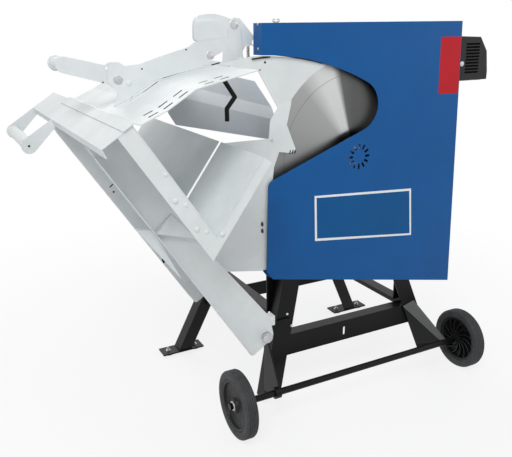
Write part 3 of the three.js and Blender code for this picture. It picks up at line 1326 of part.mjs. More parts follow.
function axle() {
  const [left, right] = [LEFT_WHEEL_X - hubHalf - CAP_DEPTH, RIGHT_WHEEL_X + hubHalf + CAP_DEPTH];
  const bar = rodX([AXLE_Y, WHEEL_RADIUS], AXLE_RADIUS, left, right);
  const leftFace = LEFT_WHEEL_X + hubHalf + FIT;
  const rightFace = RIGHT_WHEEL_X - hubHalf - FIT;
  const collars = [leftFace, rightFace - COLLAR_WIDTH].map((from) => (
    rodX([AXLE_Y, WHEEL_RADIUS], COLLAR_RADIUS, from, from + COLLAR_WIDTH)));
  return join([bar, ...collars]);
}

function tyre() {
  const [r, half] = [WHEEL_RADIUS, WHEEL_WIDTH / 2];
  const inner = r - TYRE_DEPTH;
  const [side, crown] = TYRE_SHARES.map((share) => share * TYRE_DEPTH);
  return turnedY([
    [inner, -half + crown], [r - side, -half], [r - crown / 2, -half + crown], [r, 0], [
      r - crown / 2, half - crown,
    ],
    [r - side, half], [inner, half - crown], [inner, -half + crown],
  ], WHEEL_STEPS).rotate([0, 0, -90]);
}

function wheelHub() {
  const half = WHEEL_WIDTH / 2;
  const rim = WHEEL_RADIUS - TYRE_DEPTH - FIT;
  const rimWall = WEB_THICKNESS;
  const web = half / 2;
  const rimRing = turnedY([
    [rim - rimWall, -half + rimWall], [rim, -half + rimWall], [rim, half - rimWall], [
      rim - rimWall, half - rimWall,
    ],
    [rim - rimWall, web], [HUB_RADIUS, web], [HUB_RADIUS, hubHalf], [AXLE_RADIUS + FIT, hubHalf],
    [AXLE_RADIUS + FIT, -hubHalf], [HUB_RADIUS, -hubHalf], [HUB_RADIUS, web - WEB_THICKNESS],
    [rim - rimWall, web - WEB_THICKNESS], [rim - rimWall, -half + rimWall],
  ], WHEEL_STEPS);
  const spokes = [];
  for (let i = 0; i < SPOKE_COUNT; i += 1) {
    const spoke = boxOf(
      HUB_RADIUS - FIT, rim - rimWall / 2, -half + rimWall, web - WEB_THICKNESS / 2, -SPOKE_WIDTH / 2,
      SPOKE_WIDTH / 2,
    );
    spokes.push(spoke.rotate([0, (360 * i) / SPOKE_COUNT, 0]));
  }
  return join([rimRing, ...spokes]).rotate([0, 0, -90]);
}

// The closed side of the hub faces outward, away from the frame.
function addWheel(side, x, turn) {
  const wheel = new THREE.Group();
  wheel.position.set(x, AXLE_Y, WHEEL_RADIUS);
  wheel.rotation.z = turn;
  saw.add(wheel);
  addPiece(wheel, `${side}_tyre`, tyre(), material(RUBBER, 0.8, 0));
  addPiece(wheel, `${side}_wheel_hub`, wheelHub(), painted.black());
}

function addWheels() {
  addPiece(saw, 'left_wheel_bracket', leftWheelBracket(), painted.black());
  addPiece(saw, 'right_wheel_bracket', rightWheelBracket(), painted.black());
  addPiece(saw, 'wheel_axle', axle(), material(STEEL, 0.4, 0.8));
  addWheel('left', LEFT_WHEEL_X, Math.PI);
  addWheel('right', RIGHT_WHEEL_X, 0);
}

// Switch box with its two buttons and the socket for the supply.

function switchFaceX(z) {
  return lineAtZ(SWITCH_FACE_LOW, SWITCH_FACE_HIGH, z);
}

function switchBox() {
  const [low, high] = [SWITCH_FACE_LOW[1], SWITCH_TOP_LEFT_Z];
  const flange = (z) => lineAtZ(SHELL_BOTTOM_RIGHT, shellTopRight, z) + FIT;
  const outline = [
    [flange(low), low], [...SWITCH_FACE_LOW, MOTOR_WALL], [...SWITCH_FACE_HIGH, MOTOR_WALL],
    SWITCH_SLOPE_TOP, [flange(high), high],
  ];
  const back = SWITCH_FRONT_Y + SWITCH_DEPTH;
  const body = plateY(outline, SWITCH_FRONT_Y, back);
  const tools = [];
  for (let i = 0; i < SWITCH_SLOTS; i += 1) {
    const z = SWITCH_SLOT_LOW_Z + i * SWITCH_SLOT_PITCH;
    const right = switchFaceX(z) - MOTOR_WALL;
    tools.push(
      boxOf(
        right - SWITCH_SLOT_LENGTH, right, SWITCH_FRONT_Y - CUT, SWITCH_FRONT_Y + SWITCH_SLOT_DEPTH, z,
        z + SWITCH_SLOT_WIDTH,
      ),
    );
  }
  [START_BUTTON_Z, STOP_BUTTON_Z].forEach((z) => {
    const face = switchFaceX(z);
    tools.push(
      rodX(
        [buttonY, z], BUTTON_RADIUS + FIT, face - buttonSeat - BUTTON_TRAVEL - FIT, face + MOTOR_WALL,
        MIDDLE_STEPS,
      ),
    );
  });
  const inletX = (flange(low) + SWITCH_FACE_LOW[0]) / 2;
  const inletZ = (low + high) / 2;
  const socket = rodY([inletX, inletZ], INLET_RADIUS, back - CUT, back + INLET_DEPTH, ROUND_STEPS);
  const bore = rodY(
    [inletX, inletZ], INLET_RADIUS - COVER_SHEET * 2, back, back + INLET_DEPTH + CUT, ROUND_STEPS,
  );
  const pins = INLET_PINS.map(
    ([x, z]) => rodY([inletX + x, inletZ + z], PIN_RADIUS, back - CUT, back + INLET_DEPTH / 2, PIN_STEPS),
  );
  return join([cut(body.add(socket), [...tools, bore]), ...pins]);
}

const buttonY = SWITCH_FRONT_Y + SWITCH_DEPTH / 2;
const buttonSeat = BUTTON_DEPTH - BUTTON_PROUD;

function addButton(name, z, color) {
  const group = new THREE.Group();
  group.position.set(switchFaceX(z), buttonY, z);
  saw.add(group);
  addPiece(
    group, name, rodX([0, 0], BUTTON_RADIUS, -buttonSeat, BUTTON_PROUD, MIDDLE_STEPS),
    material(color, 0.5, 0),
  );
}

function addSwitch() {
  addPiece(saw, 'switch_box', switchBox(), material(BLACK, 0.6, 0));
  addButton('start_button', START_BUTTON_Z, GREEN);
  addButton('stop_button', STOP_BUTTON_Z, RED);
}

function addRoofPieces() {
  addPiece(rocker, 'upright_plate', uprightPlate(), painted.grey());
  addPiece(rocker, 'rounded_cover', roundedCover(), painted.grey());
  addPiece(rocker, 'claw_lever', clawLever(), painted.grey());
  addPiece(rocker, 'claw_rod', clawRod(), painted.black());
  addPiece(rocker, 'claw_spring', clawSpring(), material(STEEL, 0.3, 0.9));
  addPiece(rocker, 'lower_handle', lowerHandle(), painted.grey());
  const handle = new THREE.Group();
  handle.position.set(HANDLE_BOLT[0], 0, HANDLE_BOLT[1]);
  rocker.add(handle);
  addPiece(handle, 'upper_handle', upperHandle(), painted.grey());
}

addBlade();
addHousing();
addMotor();
addRocker();
addRoofPieces();
addFrame();
addWheels();
addSwitch();

// The origin moves to the middle of the saw's footprint, on the ground.
const bounds = new THREE.Box3().setFromObject(saw, true);
saw.position.set(-(bounds.min.x + bounds.max.x) / 2, -(bounds.min.y + bounds.max.y) / 2, -bounds.min.z);

export default saw;
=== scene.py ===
import bpy, bmesh, json, math
from mathutils import Vector, Matrix


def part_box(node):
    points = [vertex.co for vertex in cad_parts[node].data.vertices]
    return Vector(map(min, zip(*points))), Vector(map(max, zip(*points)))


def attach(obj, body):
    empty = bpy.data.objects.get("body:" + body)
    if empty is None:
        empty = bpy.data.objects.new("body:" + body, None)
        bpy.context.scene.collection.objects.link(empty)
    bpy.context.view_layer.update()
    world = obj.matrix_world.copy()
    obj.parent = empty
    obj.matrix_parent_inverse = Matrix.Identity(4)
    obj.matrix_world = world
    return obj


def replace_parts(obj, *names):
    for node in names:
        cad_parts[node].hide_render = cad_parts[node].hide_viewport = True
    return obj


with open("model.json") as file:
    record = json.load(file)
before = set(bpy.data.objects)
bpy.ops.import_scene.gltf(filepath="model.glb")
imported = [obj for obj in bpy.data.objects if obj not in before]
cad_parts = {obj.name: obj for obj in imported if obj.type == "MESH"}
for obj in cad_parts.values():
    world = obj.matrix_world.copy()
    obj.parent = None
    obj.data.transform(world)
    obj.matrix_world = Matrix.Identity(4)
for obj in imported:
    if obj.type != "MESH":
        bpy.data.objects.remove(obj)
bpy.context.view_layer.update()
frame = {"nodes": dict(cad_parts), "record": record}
nodes = frame["nodes"]

# Places are read from the photograph in units of UNIT millimetres: X zero at the blade's axis,
# Y zero at the housing's front face, Z up from the ground. FRAME_SHIFT takes X and Y from there to
# the shared frame, in millimetres. Thicknesses of plates are in metres.
MM = 0.001
UNIT = 7 / 6
FRAME_SHIFT = (232.5359, -249.05)
PIVOT = (-338.0, 262.0)
BLADE_CENTRE = (0, 0, 760)
FRONT = (0, -1, 0)
BACK = (0, 1, 0)
LEFT = (-1, 0, 0)
UP = (0, 0, 1)


def mm(x, y, z):
    """A place in millimetres from the blade's axis, the housing's front and the ground."""
    return Vector((x + FRAME_SHIFT[0], y + FRAME_SHIFT[1], z)) * MM


def at(x, y, z):
    """The same for a place in units."""
    return mm(x * UNIT, y * UNIT, z * UNIT)


def off_pivot(x, z):
    """A place in millimetres from the rocker's pivot, in units."""
    return x / UNIT + PIVOT[0], z / UNIT + PIVOT[1]


def box_of(node):
    """The low and the high corner of a solid's box."""
    return (Vector(v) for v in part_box(node))


def lin(*colour):
    """A colour of 0 to 255 as the linear one that a shader takes."""
    return tuple(((c / 255 + 0.055) / 1.055) ** 2.4 if c > 10 else c / 255 / 12.92 for c in colour) + (1.0,)


def times(colour, factor, more=0.0):
    return tuple(min(1, c * factor + more) for c in colour[:3])


# Materials

class Paint:
    """A material with short calls for the nodes that the paints share."""

    def __init__(self, name):
        self.material = bpy.data.materials.new(name)
        self.material.use_nodes = True
        self.tree = self.material.node_tree
        self.inputs = self.tree.nodes["Principled BSDF"].inputs

    def add(self, kind):
        return self.tree.nodes.new(kind)

    def put(self, socket, value):
        if isinstance(value, bpy.types.NodeSocket):
            self.tree.links.new(value, socket)
        else:
            socket.default_value = value

    def texture_place(self, kind="Object"):
        return self.add("ShaderNodeTexCoord").outputs[kind]

    def noise(self, scale, detail=2.0, rough=0.5, vector=None):
        node = self.add("ShaderNodeTexNoise")
        self.put(node.inputs["Vector"], vector or self.texture_place())
        node.inputs["Scale"].default_value = scale
        node.inputs["Detail"].default_value = detail
        node.inputs["Roughness"].default_value = rough
        return node.outputs["Fac"]

    def ramp(self, fac, stops):
        node = self.add("ShaderNodeValToRGB")
        self.put(node.inputs["Fac"], fac)
        elements = node.color_ramp.elements
        while len(elements) < len(stops):
            elements.new(0.5)
        for element, (place, colour) in zip(elements, stops):
            element.position = place
            element.color = tuple(colour[:3]) + (1,)
        return node.outputs["Color"]

    def grey(self, fac, low, high, start=0.0, end=1.0):
        node = self.add("ShaderNodeMapRange")
        self.put(node.inputs["Value"], fac)
        node.inputs["From Min"].default_value = start
        node.inputs["From Max"].default_value = end
        node.inputs["To Min"].default_value = low
        node.inputs["To Max"].default_value = high
        return node.outputs["Result"]

    def mix(self, fac, first, second):
        node = self.add("ShaderNodeMix")
        node.data_type = "RGBA"
        for socket, value in zip((node.inputs[0], node.inputs[6], node.inputs[7]), (fac, first, second)):
            self.put(socket, value)
        return node.outputs[2]

    def math(self, operation, first, second=0.0):
        node = self.add("ShaderNodeMath")
        node.operation = operation
        self.put(node.inputs[0], first)
        self.put(node.inputs[1], second)
        return node.outputs[0]

    def vector(self, operation, first, second=None, output=0):
        node = self.add("ShaderNodeVectorMath")
        node.operation = operation
        self.put(node.inputs[0], first)
        if second is not None:
            self.put(node.inputs[1], second)
        return node.outputs[output]

    def parts(self, vector):
        node = self.add("ShaderNodeSeparateXYZ")
        self.put(node.inputs[0], vector)
        return node.outputs

    def bump(self, height, strength, distance, normal=None):
        node = self.add("ShaderNodeBump")
        node.inputs["Strength"].default_value = strength
        node.inputs["Distance"].default_value = distance
        self.put(node.inputs["Height"], height)
        if normal is not None:
            self.put(node.inputs["Normal"], normal)
        self.put(self.inputs["Normal"], node.outputs["Normal"])

    def edges(self, radius):
        """The normal rounded near sharp edges, and a mask that is 1 on them."""
        bevel = self.add("ShaderNodeBevel")
        bevel.samples = 4
        bevel.inputs["Radius"].default_value = radius
        true_normal = self.add("ShaderNodeNewGeometry").outputs["Normal"]
        alike = self.vector("DOT_PRODUCT", bevel.outputs[0], true_normal, "Value")
        return bevel.outputs[0], self.grey(alike, 1.0, 0.0, 0.75, 0.99)


def inward(paint, middle):
    """1 on faces that look towards the plane Y = middle, so on the inside of the housing."""
    place = paint.parts(paint.texture_place())["Y"]
    normal = paint.parts(paint.texture_place("Normal"))["Y"]
    side = paint.math("SIGN", paint.math("SUBTRACT", middle, place))
    return paint.math("GREATER_THAN", paint.math("MULTIPLY", side, normal), 0.5)


DUST = lin(196, 190, 178)
PEEL_DEPTH = 0.0004


def coated(name, colour, rough, peel=0.06, rub_and_highlight=0.35, rubbed_and_highlit_colour=None, dust=None, scale=900.0, specular=0.5,
           bend=0.0008, inside=None):
    """A powder coat: orange peel, faint patches, edges made lighter as partly rubbed paint and partly a
    painted highlight, settled dust and a dark inside.
    """
    paint = Paint(name)
    base = paint.ramp(paint.noise(7.0, 4.0, 0.6), [(0.3, times(colour, 0.93)), (0.7, times(colour, 1.05))])
    normal, edge = paint.edges(bend)
    # Lighter edges: partly rubbed paint, partly a painted highlight on the bends.
    mask = paint.math("MULTIPLY", edge, paint.grey(paint.noise(130.0, 5.0, 0.7), 0.0, rub_and_highlight, 0.42, 0.72))
    base = paint.mix(mask, base, rubbed_and_highlit_colour or times(colour, 1.25, 0.05) + (1,))
    if dust:
        height = paint.parts(paint.add("ShaderNodeNewGeometry").outputs["Normal"])["Z"]
        settled = paint.grey(paint.noise(38.0, 6.0, 0.65), 0.0, dust, 0.45, 0.75)
        base = paint.mix(paint.math("MULTIPLY", paint.grey(height, 0.0, 1.0, 0.5, 1.0), settled), base, DUST)
    if inside:
        base = paint.mix(inward(paint, inside[0]), base, inside[1])
    paint.put(paint.inputs["Base Color"], base)
    paint.put(paint.inputs["Roughness"], paint.grey(paint.noise(24.0, 3.0), rough - 0.05, rough + 0.07))
    paint.inputs["Specular IOR Level"].default_value = specular
    paint.bump(paint.noise(scale), peel, PEEL_DEPTH, normal)
    return paint.material


def metal(name, colour, rough, grain, strength=0.08):
    """Bare or plated metal with a fine grain."""
    paint = Paint(name)
    fine = paint.noise(grain, 3.0, 0.6)
    base = paint.ramp(paint.noise(11.0, 4.0), [(0.3, times(colour, 0.86)), (0.7, colour)])
    paint.put(paint.inputs["Base Color"], base)
    paint.inputs["Metallic"].default_value = 1.0
    paint.put(paint.inputs["Roughness"], paint.grey(fine, rough - 0.06, rough + 0.1))
    paint.bump(fine, strength, PEEL_DEPTH, paint.edges(0.0005)[0])
    return paint.material


# Painted highlight and painted shade on the ground blade round half a turn, and the circle scribed on it.
# The shades were set until the render matched the light wedge in the photograph. They turn with the blade.
BLADE_PAINTED_LIGHT = [(0.0, 0.24), (0.25, 0.13), (0.52, 0.11), (0.572, 0.13), (0.60, 0.64), (0.66, 0.60),
                (0.73, 0.34), (0.86, 0.29), (1.0, 0.24)]
BLADE_TINT = (1.0, 1.01, 1.01)
BLADE_GREY = (0.24, 0.24, 0.24, 1)
SCRIBE_GREY = (0.1, 0.1, 0.1, 1)
SCRIBE_RADIUS = 0.2835
SCRIBE_HALF = 0.0006


def blade_steel():
    """Steel ground in rings, with a painted highlight wedge beside painted shade, and a scribed circle."""
    paint = Paint("blade_steel")
    off = paint.vector("SUBTRACT", paint.texture_place(), at(*BLADE_CENTRE))
    flat = paint.vector("MULTIPLY", off, (1, 0, 1))
    radius = paint.vector("LENGTH", flat, None, "Value")
    ring = paint.add("ShaderNodeCombineXYZ")
    paint.put(ring.inputs[0], radius)
    scratches = paint.noise(2600.0, 3.0, 0.7, ring.outputs[0])
    wide = paint.noise(180.0, 2.0, 0.6, ring.outputs[0])
    parts = paint.parts(flat)
    turn = paint.math("ARCTAN2", parts["Z"], parts["X"])
    half = paint.math("FRACT", paint.math("ADD", paint.math("DIVIDE", turn, math.pi), 1.0))
    # Base colour by angle: a painted highlight wedge and painted shade.
    shade = paint.ramp(half, [(place, times(BLADE_TINT, light)) for place, light in BLADE_PAINTED_LIGHT])
    line = paint.math("COMPARE", radius, SCRIBE_RADIUS)
    line.node.inputs[2].default_value = SCRIBE_HALF
    shade = paint.mix(line, shade, SCRIBE_GREY)
    base = paint.mix(paint.grey(wide, 0.0, 0.1, 0.35, 0.65), shade, BLADE_GREY)
    paint.put(paint.inputs["Base Color"], base)
    paint.inputs["Metallic"].default_value = 1.0
    paint.inputs["Anisotropic"].default_value = 0.85
    tangent = paint.add("ShaderNodeTangent")
    tangent.direction_type = "RADIAL"
    tangent.axis = "Y"
    paint.put(paint.inputs["Tangent"], tangent.outputs[0])
    paint.put(paint.inputs["Roughness"], paint.grey(scratches, 0.3, 0.4))
    paint.bump(scratches, 0.04, 0.0003)
    return paint.material


def plastic(name, colour, rough, strength=0.25, specular=0.5):
    """Moulded plastic with a fine grain."""
    paint = Paint(name)
    paint.inputs["Specular IOR Level"].default_value = specular
    base = paint.ramp(paint.noise(16.0, 3.0), [(0.3, times(colour, 0.85)), (0.7, times(colour, 1.15))])
    paint.put(paint.inputs["Base Color"], base)
    paint.put(paint.inputs["Roughness"], paint.grey(paint.noise(90.0), rough - 0.06, rough + 0.08))
    paint.bump(paint.noise(1400.0), strength, 0.0003, paint.edges(0.0009)[0])
    return paint.material


RUBBER_SHADES = [(0.35, lin(44, 45, 47)), (0.62, lin(58, 59, 61)), (0.8, lin(82, 81, 79))]


def rubber():
    """Dark rubber with dust in its grain."""
    paint = Paint("rubber")
    paint.put(paint.inputs["Base Color"], paint.ramp(paint.noise(28.0, 6.0, 0.65), RUBBER_SHADES))
    paint.put(paint.inputs["Roughness"], paint.grey(paint.noise(60.0, 3.0), 0.58, 0.78))
    paint.bump(paint.noise(700.0, 3.0), 0.3, 0.0005)
    return paint.material


# The plane between the housing's two faces, and the near-black given to faces that look towards it.
INSIDE = (at(0, 30, 0).y, lin(12, 14, 16))
BLUE = coated("housing_blue", lin(8, 85, 150), 0.4, 0.05, 0.3, lin(110, 158, 210), scale=1100,
              specular=0.22, bend=0.003, inside=INSIDE)
GREY = coated("rocker_grey", lin(224, 229, 230), 0.42, 0.05, 0.25, lin(240, 242, 243), dust=0.06,
              specular=0.4, bend=0.0016)
BLACK = coated("frame_black", lin(9, 10, 10), 0.34, 0.07, 0.5, lin(80, 82, 84), dust=0.02,
               specular=0.18, bend=0.0016)
# A paler copy of the frame black, as a painted highlight on the bracket's lit upper face.
PAINTED_LIT_BLACK = coated("painted_lit_black", lin(84, 86, 85), 0.4, 0.07, 0.5, lin(130, 132, 134),
                 specular=0.3, bend=0.0016)
CAST = coated("motor_grey", lin(112, 118, 123), 0.52, peel=0.5, rub_and_highlight=0.3, dust=0.2, scale=420)
BLADE = blade_steel()
STEEL = metal("bare_steel", (0.52, 0.53, 0.55), 0.3, 300.0)
ZINC = metal("zinc", (0.60, 0.61, 0.62), 0.27, 500.0, 0.05)
SPRING = metal("spring_steel", (0.16, 0.16, 0.17), 0.35, 400.0)
PLASTIC = plastic("black_plastic", lin(17, 18, 18), 0.46, strength=0.15, specular=0.3)
GREEN = plastic("green_plastic", lin(30, 132, 60), 0.28, strength=0.05)
RED = plastic("red_plastic", lin(176, 30, 38), 0.28, strength=0.05)
RUBBER = rubber()
# Near-black plates that stand for the shade seen inside holes and slots: painted shade.
HOLE_SHADE = plastic("hole_painted_shade", lin(5, 5, 5), 0.8, specular=0.05)
LABEL_RED = coated("label_red", lin(186, 22, 36), 0.4, peel=0.02, rub_and_highlight=0.0, specular=0.2)
LABEL_WHITE = coated("label_white", lin(236, 238, 240), 0.4, peel=0.02, rub_and_highlight=0.0, specular=0.2)
LABEL_BLUE = coated("label_blue", lin(0, 82, 140), 0.4, peel=0.02, rub_and_highlight=0.0, specular=0.2)

SLOTS = {"housing_blue": BLUE, "rocker_grey": GREY, "frame_black": BLACK, "motor_grey": CAST,
         "blade_steel": BLADE, "bare_steel": STEEL, "black_plastic": PLASTIC, "green_plastic": GREEN,
         "red_plastic": RED, "rubber": RUBBER}
# A node whose name has one of these words keeps its smooth faces. The others are flat sheets.
ROUND = ("tyre", "hub", "rod", "spring", "handle", "shaft", "axle", "flange", "bearing", "cover", "button",
         "fan", "motor", "pad", "bracket")


def dress_nodes():
    """Gives every solid its material, and flat shading where it is folded sheet."""
    for part in frame["record"]["subparts"]:
        node = nodes[part["node"]]
        material = SLOTS[part["material_slot"]]
        if not node.material_slots:
            node.data.materials.append(material)
        for slot in node.material_slots:
            slot.material = material
    nodes["claw_spring"].material_slots[0].material = SPRING
    for name, node in nodes.items():
        if not any(word in name for word in ROUND):
            node.data.polygons.foreach_set("use_smooth", [False] * len(node.data.polygons))
            node.data.update()


dress_nodes()


# Helpers that build shapes

def piece(name, bm, material, body, smooth=None):
    """Turns a mesh into a piece of a body. Edges under smooth degrees are shaded round."""
    mesh = bpy.data.meshes.new(name)
    bmesh.ops.recalc_face_normals(bm, faces=bm.faces)
    bm.to_mesh(mesh)
    bm.free()
    made = bpy.data.objects.new(name, mesh)
    bpy.context.scene.collection.objects.link(made)
    for coat in material if isinstance(material, tuple) else (material,):
        mesh.materials.append(coat)
    if smooth is not None:
        mesh.polygons.foreach_set("use_smooth", [True] * len(mesh.polygons))
        bpy.context.view_layer.objects.active = made
        made.select_set(True)
        bpy.ops.object.shade_smooth_by_angle(angle=math.radians(smooth))
        made.select_set(False)
    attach(made, body)
    return made


def facing(origin, axis, turn=0.0):
    """A matrix at origin, with its own Z along axis."""
    toward = Vector(axis).normalized().to_track_quat("Z", "Y")
    return Matrix.Translation(origin) @ toward.to_matrix().to_4x4() @ Matrix.Rotation(turn, 4, "Z")


SQUARE = ((-1, -1), (1, -1), (1, 1), (-1, 1))


def around(steps):
    """The angles of a full turn, in equal steps."""
    return [2 * math.pi * i / steps for i in range(steps)]


def loft(bm, rings, index=0):
    """A closed solid through rings of places in metres."""
    rings = [[bm.verts.new(v) for v in ring] for ring in rings]
    faces = [bm.faces.new(list(reversed(rings[0]))), bm.faces.new(rings[-1])]
    for a, b in zip(rings, rings[1:]):
        faces += [bm.faces.new([a[i - 1], a[i], b[i], b[i - 1]]) for i in range(len(a))]
    for f in faces:
        f.material_index = index


POLE = 1e-4


def turned(bm, profile, matrix, steps=32):
    """Revolves (radius, height) points in millimetres about the matrix's Z."""
    rings = []
    for radius, height in profile:
        turns = around(steps) if radius > POLE else [0.0]
        ring = [Vector((radius * math.cos(a), radius * math.sin(a), height)) * MM for a in turns]
        rings.append([bm.verts.new(matrix @ place) for place in ring])
    for a, b in zip(rings, rings[1:]):
        for i in range(steps):
            j = (i + 1) % steps
            corners = [a[i % len(a)], a[j % len(a)], b[j % len(b)], b[i % len(b)]]
            corners = list(dict.fromkeys(corners))
            if len(corners) > 2:
                bm.faces.new(corners)
    return bm


def hex_bolt(bm, origin, axis, turn, across, head, washer, plate=1.6, thread=0.0):
    """A washer of thickness plate, a hexagon head on it and, where it shows, the thread's end."""
    matrix = facing(origin, axis, turn)
    turned(bm, [(0, 0), (washer, 0), (washer, plate - 0.3), (washer - 0.4, plate), (0, plate)], matrix, 24)
    rim = across / 2 / math.cos(math.pi / 6)
    top = plate + head
    turned(bm, [(0, plate), (rim, plate), (rim, top - 0.4), (rim * 0.9, top), (0, top)], matrix, 6)
    if thread:
        core = across * 0.28
        end = top + thread
        turned(bm, [(0, top), (core, top), (core, end - 0.8), (across * 0.2, end), (0, end)], matrix, 16)


def dome_bolt(bm, origin, axis, radius, height):
    foot = 0.7
    rise = [math.pi / 2 * k / 5 for k in range(1, 6)]
    dome = [(radius * math.cos(a), foot + (height - foot) * math.sin(a)) for a in rise]
    turned(bm, [(0, 0), (radius, 0), (radius, foot)] + dome, facing(origin, axis), 20)


def prism(bm, outline, matrix, depth, index=0):
    """A plate with an outline in metres in the matrix's XY plane, depth along its Z."""
    loft(bm, [[matrix @ Vector((x, y, z)) for x, y in outline] for z in (0, depth)], index)


THIN = 0.0006


def panel(bm, points, y, depth=THIN, index=0):
    """A plate that faces the front, from (x, z) points in units, with its face at y."""
    world = [at(x, y, z) for x, z in points]
    matrix = Matrix(((1, 0, 0, 0), (0, 0, -1, world[0].y), (0, 1, 0, 0), (0, 0, 0, 1)))
    prism(bm, [(v.x, v.z) for v in world], matrix @ Matrix.Translation((0, 0, -depth)), depth, index)


def flat_sheet(bm, corners, thick, index=0):
    """A plate through corners in metres, thick along the normal that their order gives."""
    away = (corners[1] - corners[0]).cross(corners[2] - corners[0]).normalized() * thick
    loft(bm, [[v + away for v in corners], corners], index)


def ring_of(x, z, radius, steps=16):
    return [(x + radius * math.cos(a), z + radius * math.sin(a)) for a in around(steps)]


def capsule(a, b, radius, steps=4):
    """Outline of a slot with round ends at a and b."""
    turn = math.atan2(b[1] - a[1], b[0] - a[0])
    outline = []
    for (x, z), first in ((b, -math.pi / 2), (a, math.pi / 2)):
        angles = [turn + first + math.pi * i / steps for i in range(steps + 1)]
        outline += [(x + radius * math.cos(angle), z + radius * math.sin(angle)) for angle in angles]
    return outline


def round_corners(points, radius, steps=5):
    """The polygon with its corners rounded."""
    outline = []
    for i, point in enumerate(points):
        corner = Vector(point)
        a = Vector(points[i - 1]) - corner
        b = Vector(points[(i + 1) % len(points)]) - corner
        reach = min(radius / math.tan(a.angle(b) / 2), a.length / 2, b.length / 2)
        start = corner + a.normalized() * reach
        end = corner + b.normalized() * reach
        for t in (k / steps for k in range(steps + 1)):
            outline.append(tuple(start * (1 - t) ** 2 + corner * 2 * t * (1 - t) + end * t ** 2))
    return outline


def tube(bm, points, radius, steps=12):
    """A rod along places in metres, with closed ends and its radius in millimetres."""
    rings = []
    for i, place in enumerate(points):
        matrix = facing(place, points[min(i + 1, len(points) - 1)] - points[max(i - 1, 0)])
        rings.append([matrix @ (Vector((math.cos(a), math.sin(a), 0)) * radius * MM) for a in around(steps)])
    loft(bm, rings)


def beside(a, b, distance):
    """The line a-b moved to its left."""
    away = Vector((-(b[1] - a[1]), b[0] - a[0])).normalized() * distance
    return (a[0] + away.x, a[1] + away.y), (b[0] + away.x, b[1] + away.y)


def crossing(p, q, r, s):
    """Where the lines p-q and r-s meet."""
    d = Vector(q) - Vector(p)
    e = Vector(s) - Vector(r)
    t = ((r[0] - p[0]) * e.y - (r[1] - p[1]) * e.x) / (d.x * e.y - d.y * e.x)
    return tuple(Vector(p) + d * t)


# Bare plate and bare label on the housing

PLATE_CORNERS = [(-156, 659), (-152, 519), (220, 478), (208, 636)]
PLATE_EDGE = 7.0
PLATE_DEPTH = 0.0009
LABEL_CORNERS = [(290, 1098), (294, 927), (376.5, 924), (372, 1097)]
LABEL_ROUND = 7
PLATE_Y = -0.3
PLATE_INNER_Y = -0.5


def bare_plate():
    bm = bmesh.new()
    panel(bm, PLATE_CORNERS, PLATE_Y, PLATE_DEPTH)
    middle_x, middle_z = (sum(values) / 4 for values in zip(*PLATE_CORNERS))
    inner = [(x - math.copysign(PLATE_EDGE, x - middle_x), z - math.copysign(PLATE_EDGE, z - middle_z))
             for x, z in PLATE_CORNERS]
    panel(bm, inner, PLATE_INNER_Y, PLATE_DEPTH, 1)
    piece("bare_plate", bm, (LABEL_WHITE, LABEL_BLUE), "machine")


def red_label():
    bm = bmesh.new()
    panel(bm, round_corners(LABEL_CORNERS, LABEL_ROUND), PLATE_Y)
    piece("red_label", bm, LABEL_RED, "machine")


bare_plate()
red_label()


# Wheels, in millimetres

SPOKES = 14
SPOKE_STEPS = 6
SPOKE_START, SPOKE_END = 16, 78.5
SPOKE_CURVE = 0.55
SPOKE_HALF = 1.7
SPOKE_LOW, SPOKE_HEIGHT = -12, 17
BEAD_DEPTH = 28
TREAD_GROOVES = (13, 6.5, 0, -6.5, -13)
GROOVE_DEPTH = 1.8
HUB_DISH = [(58, 8.2), (56, 6.6), (31, 6.6), (27, 9), (24, 16), (21, 19), (0, 19.4)]
HUB_BACK = [(0, -25.4), (14, -25.4), (17, -23.5), (18, 1), (24, 3.5), (70, 4), (76, 1), (79.5, -15),
            (81, -17)]
CAP = [(0, 18), (16, 18), (16, 20.5), (14.8, 22), (12.5, 21.5), (11.5, 22.2), (9, 24.6), (4, 25.4),
       (0, 25.5)]
WELD = 1e-6


def tyre(side, matrix, radius, half):
    """A tyre with rounded flanks and five grooves in its tread."""
    bead = radius - BEAD_DEPTH
    flank = [(bead, half - 4), (bead + 3, half - 2.2), (radius - 20, half - 0.4), (radius - 14, half),
             (radius - 6, half - 1.2), (radius - 2.2, half - 3.6), (radius - 0.5, half - 7)]
    bottom = radius - GROOVE_DEPTH
    tread = []
    for g in TREAD_GROOVES:
        tread += [(radius - 0.1, g + 1.4), (bottom, g + 0.8), (bottom, g - 0.8), (radius - 0.1, g - 1.4)]
    profile = flank + tread + [(a, -h) for a, h in reversed(flank)]
    bm = turned(bmesh.new(), profile + [profile[0]], matrix, 96)
    bmesh.ops.remove_doubles(bm, verts=bm.verts, dist=WELD)
    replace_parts(piece(side + "_tyre_detail", bm, RUBBER, side + "_wheel", 35), side + "_tyre")


def spoke(bm, matrix, start):
    """One curved rib on the hub's face."""
    line = []
    for t in (k / SPOKE_STEPS for k in range(SPOKE_STEPS + 1)):
        reach = SPOKE_START + (SPOKE_END - SPOKE_START) * t
        turn = start + SPOKE_CURVE * t ** 1.5
        line.append(Vector((reach * math.cos(turn), reach * math.sin(turn))))
    low = matrix @ Matrix.Translation((0, 0, SPOKE_LOW * MM))
    for a, b in zip(line, line[1:]):
        along = (b - a).normalized() * SPOKE_HALF
        wide = Vector((-along.y, along.x))
        end = b + along * 0.2
        outline = [a - wide, end - wide, end + wide, a + wide]
        prism(bm, [tuple(v * MM) for v in outline], low, SPOKE_HEIGHT * MM)


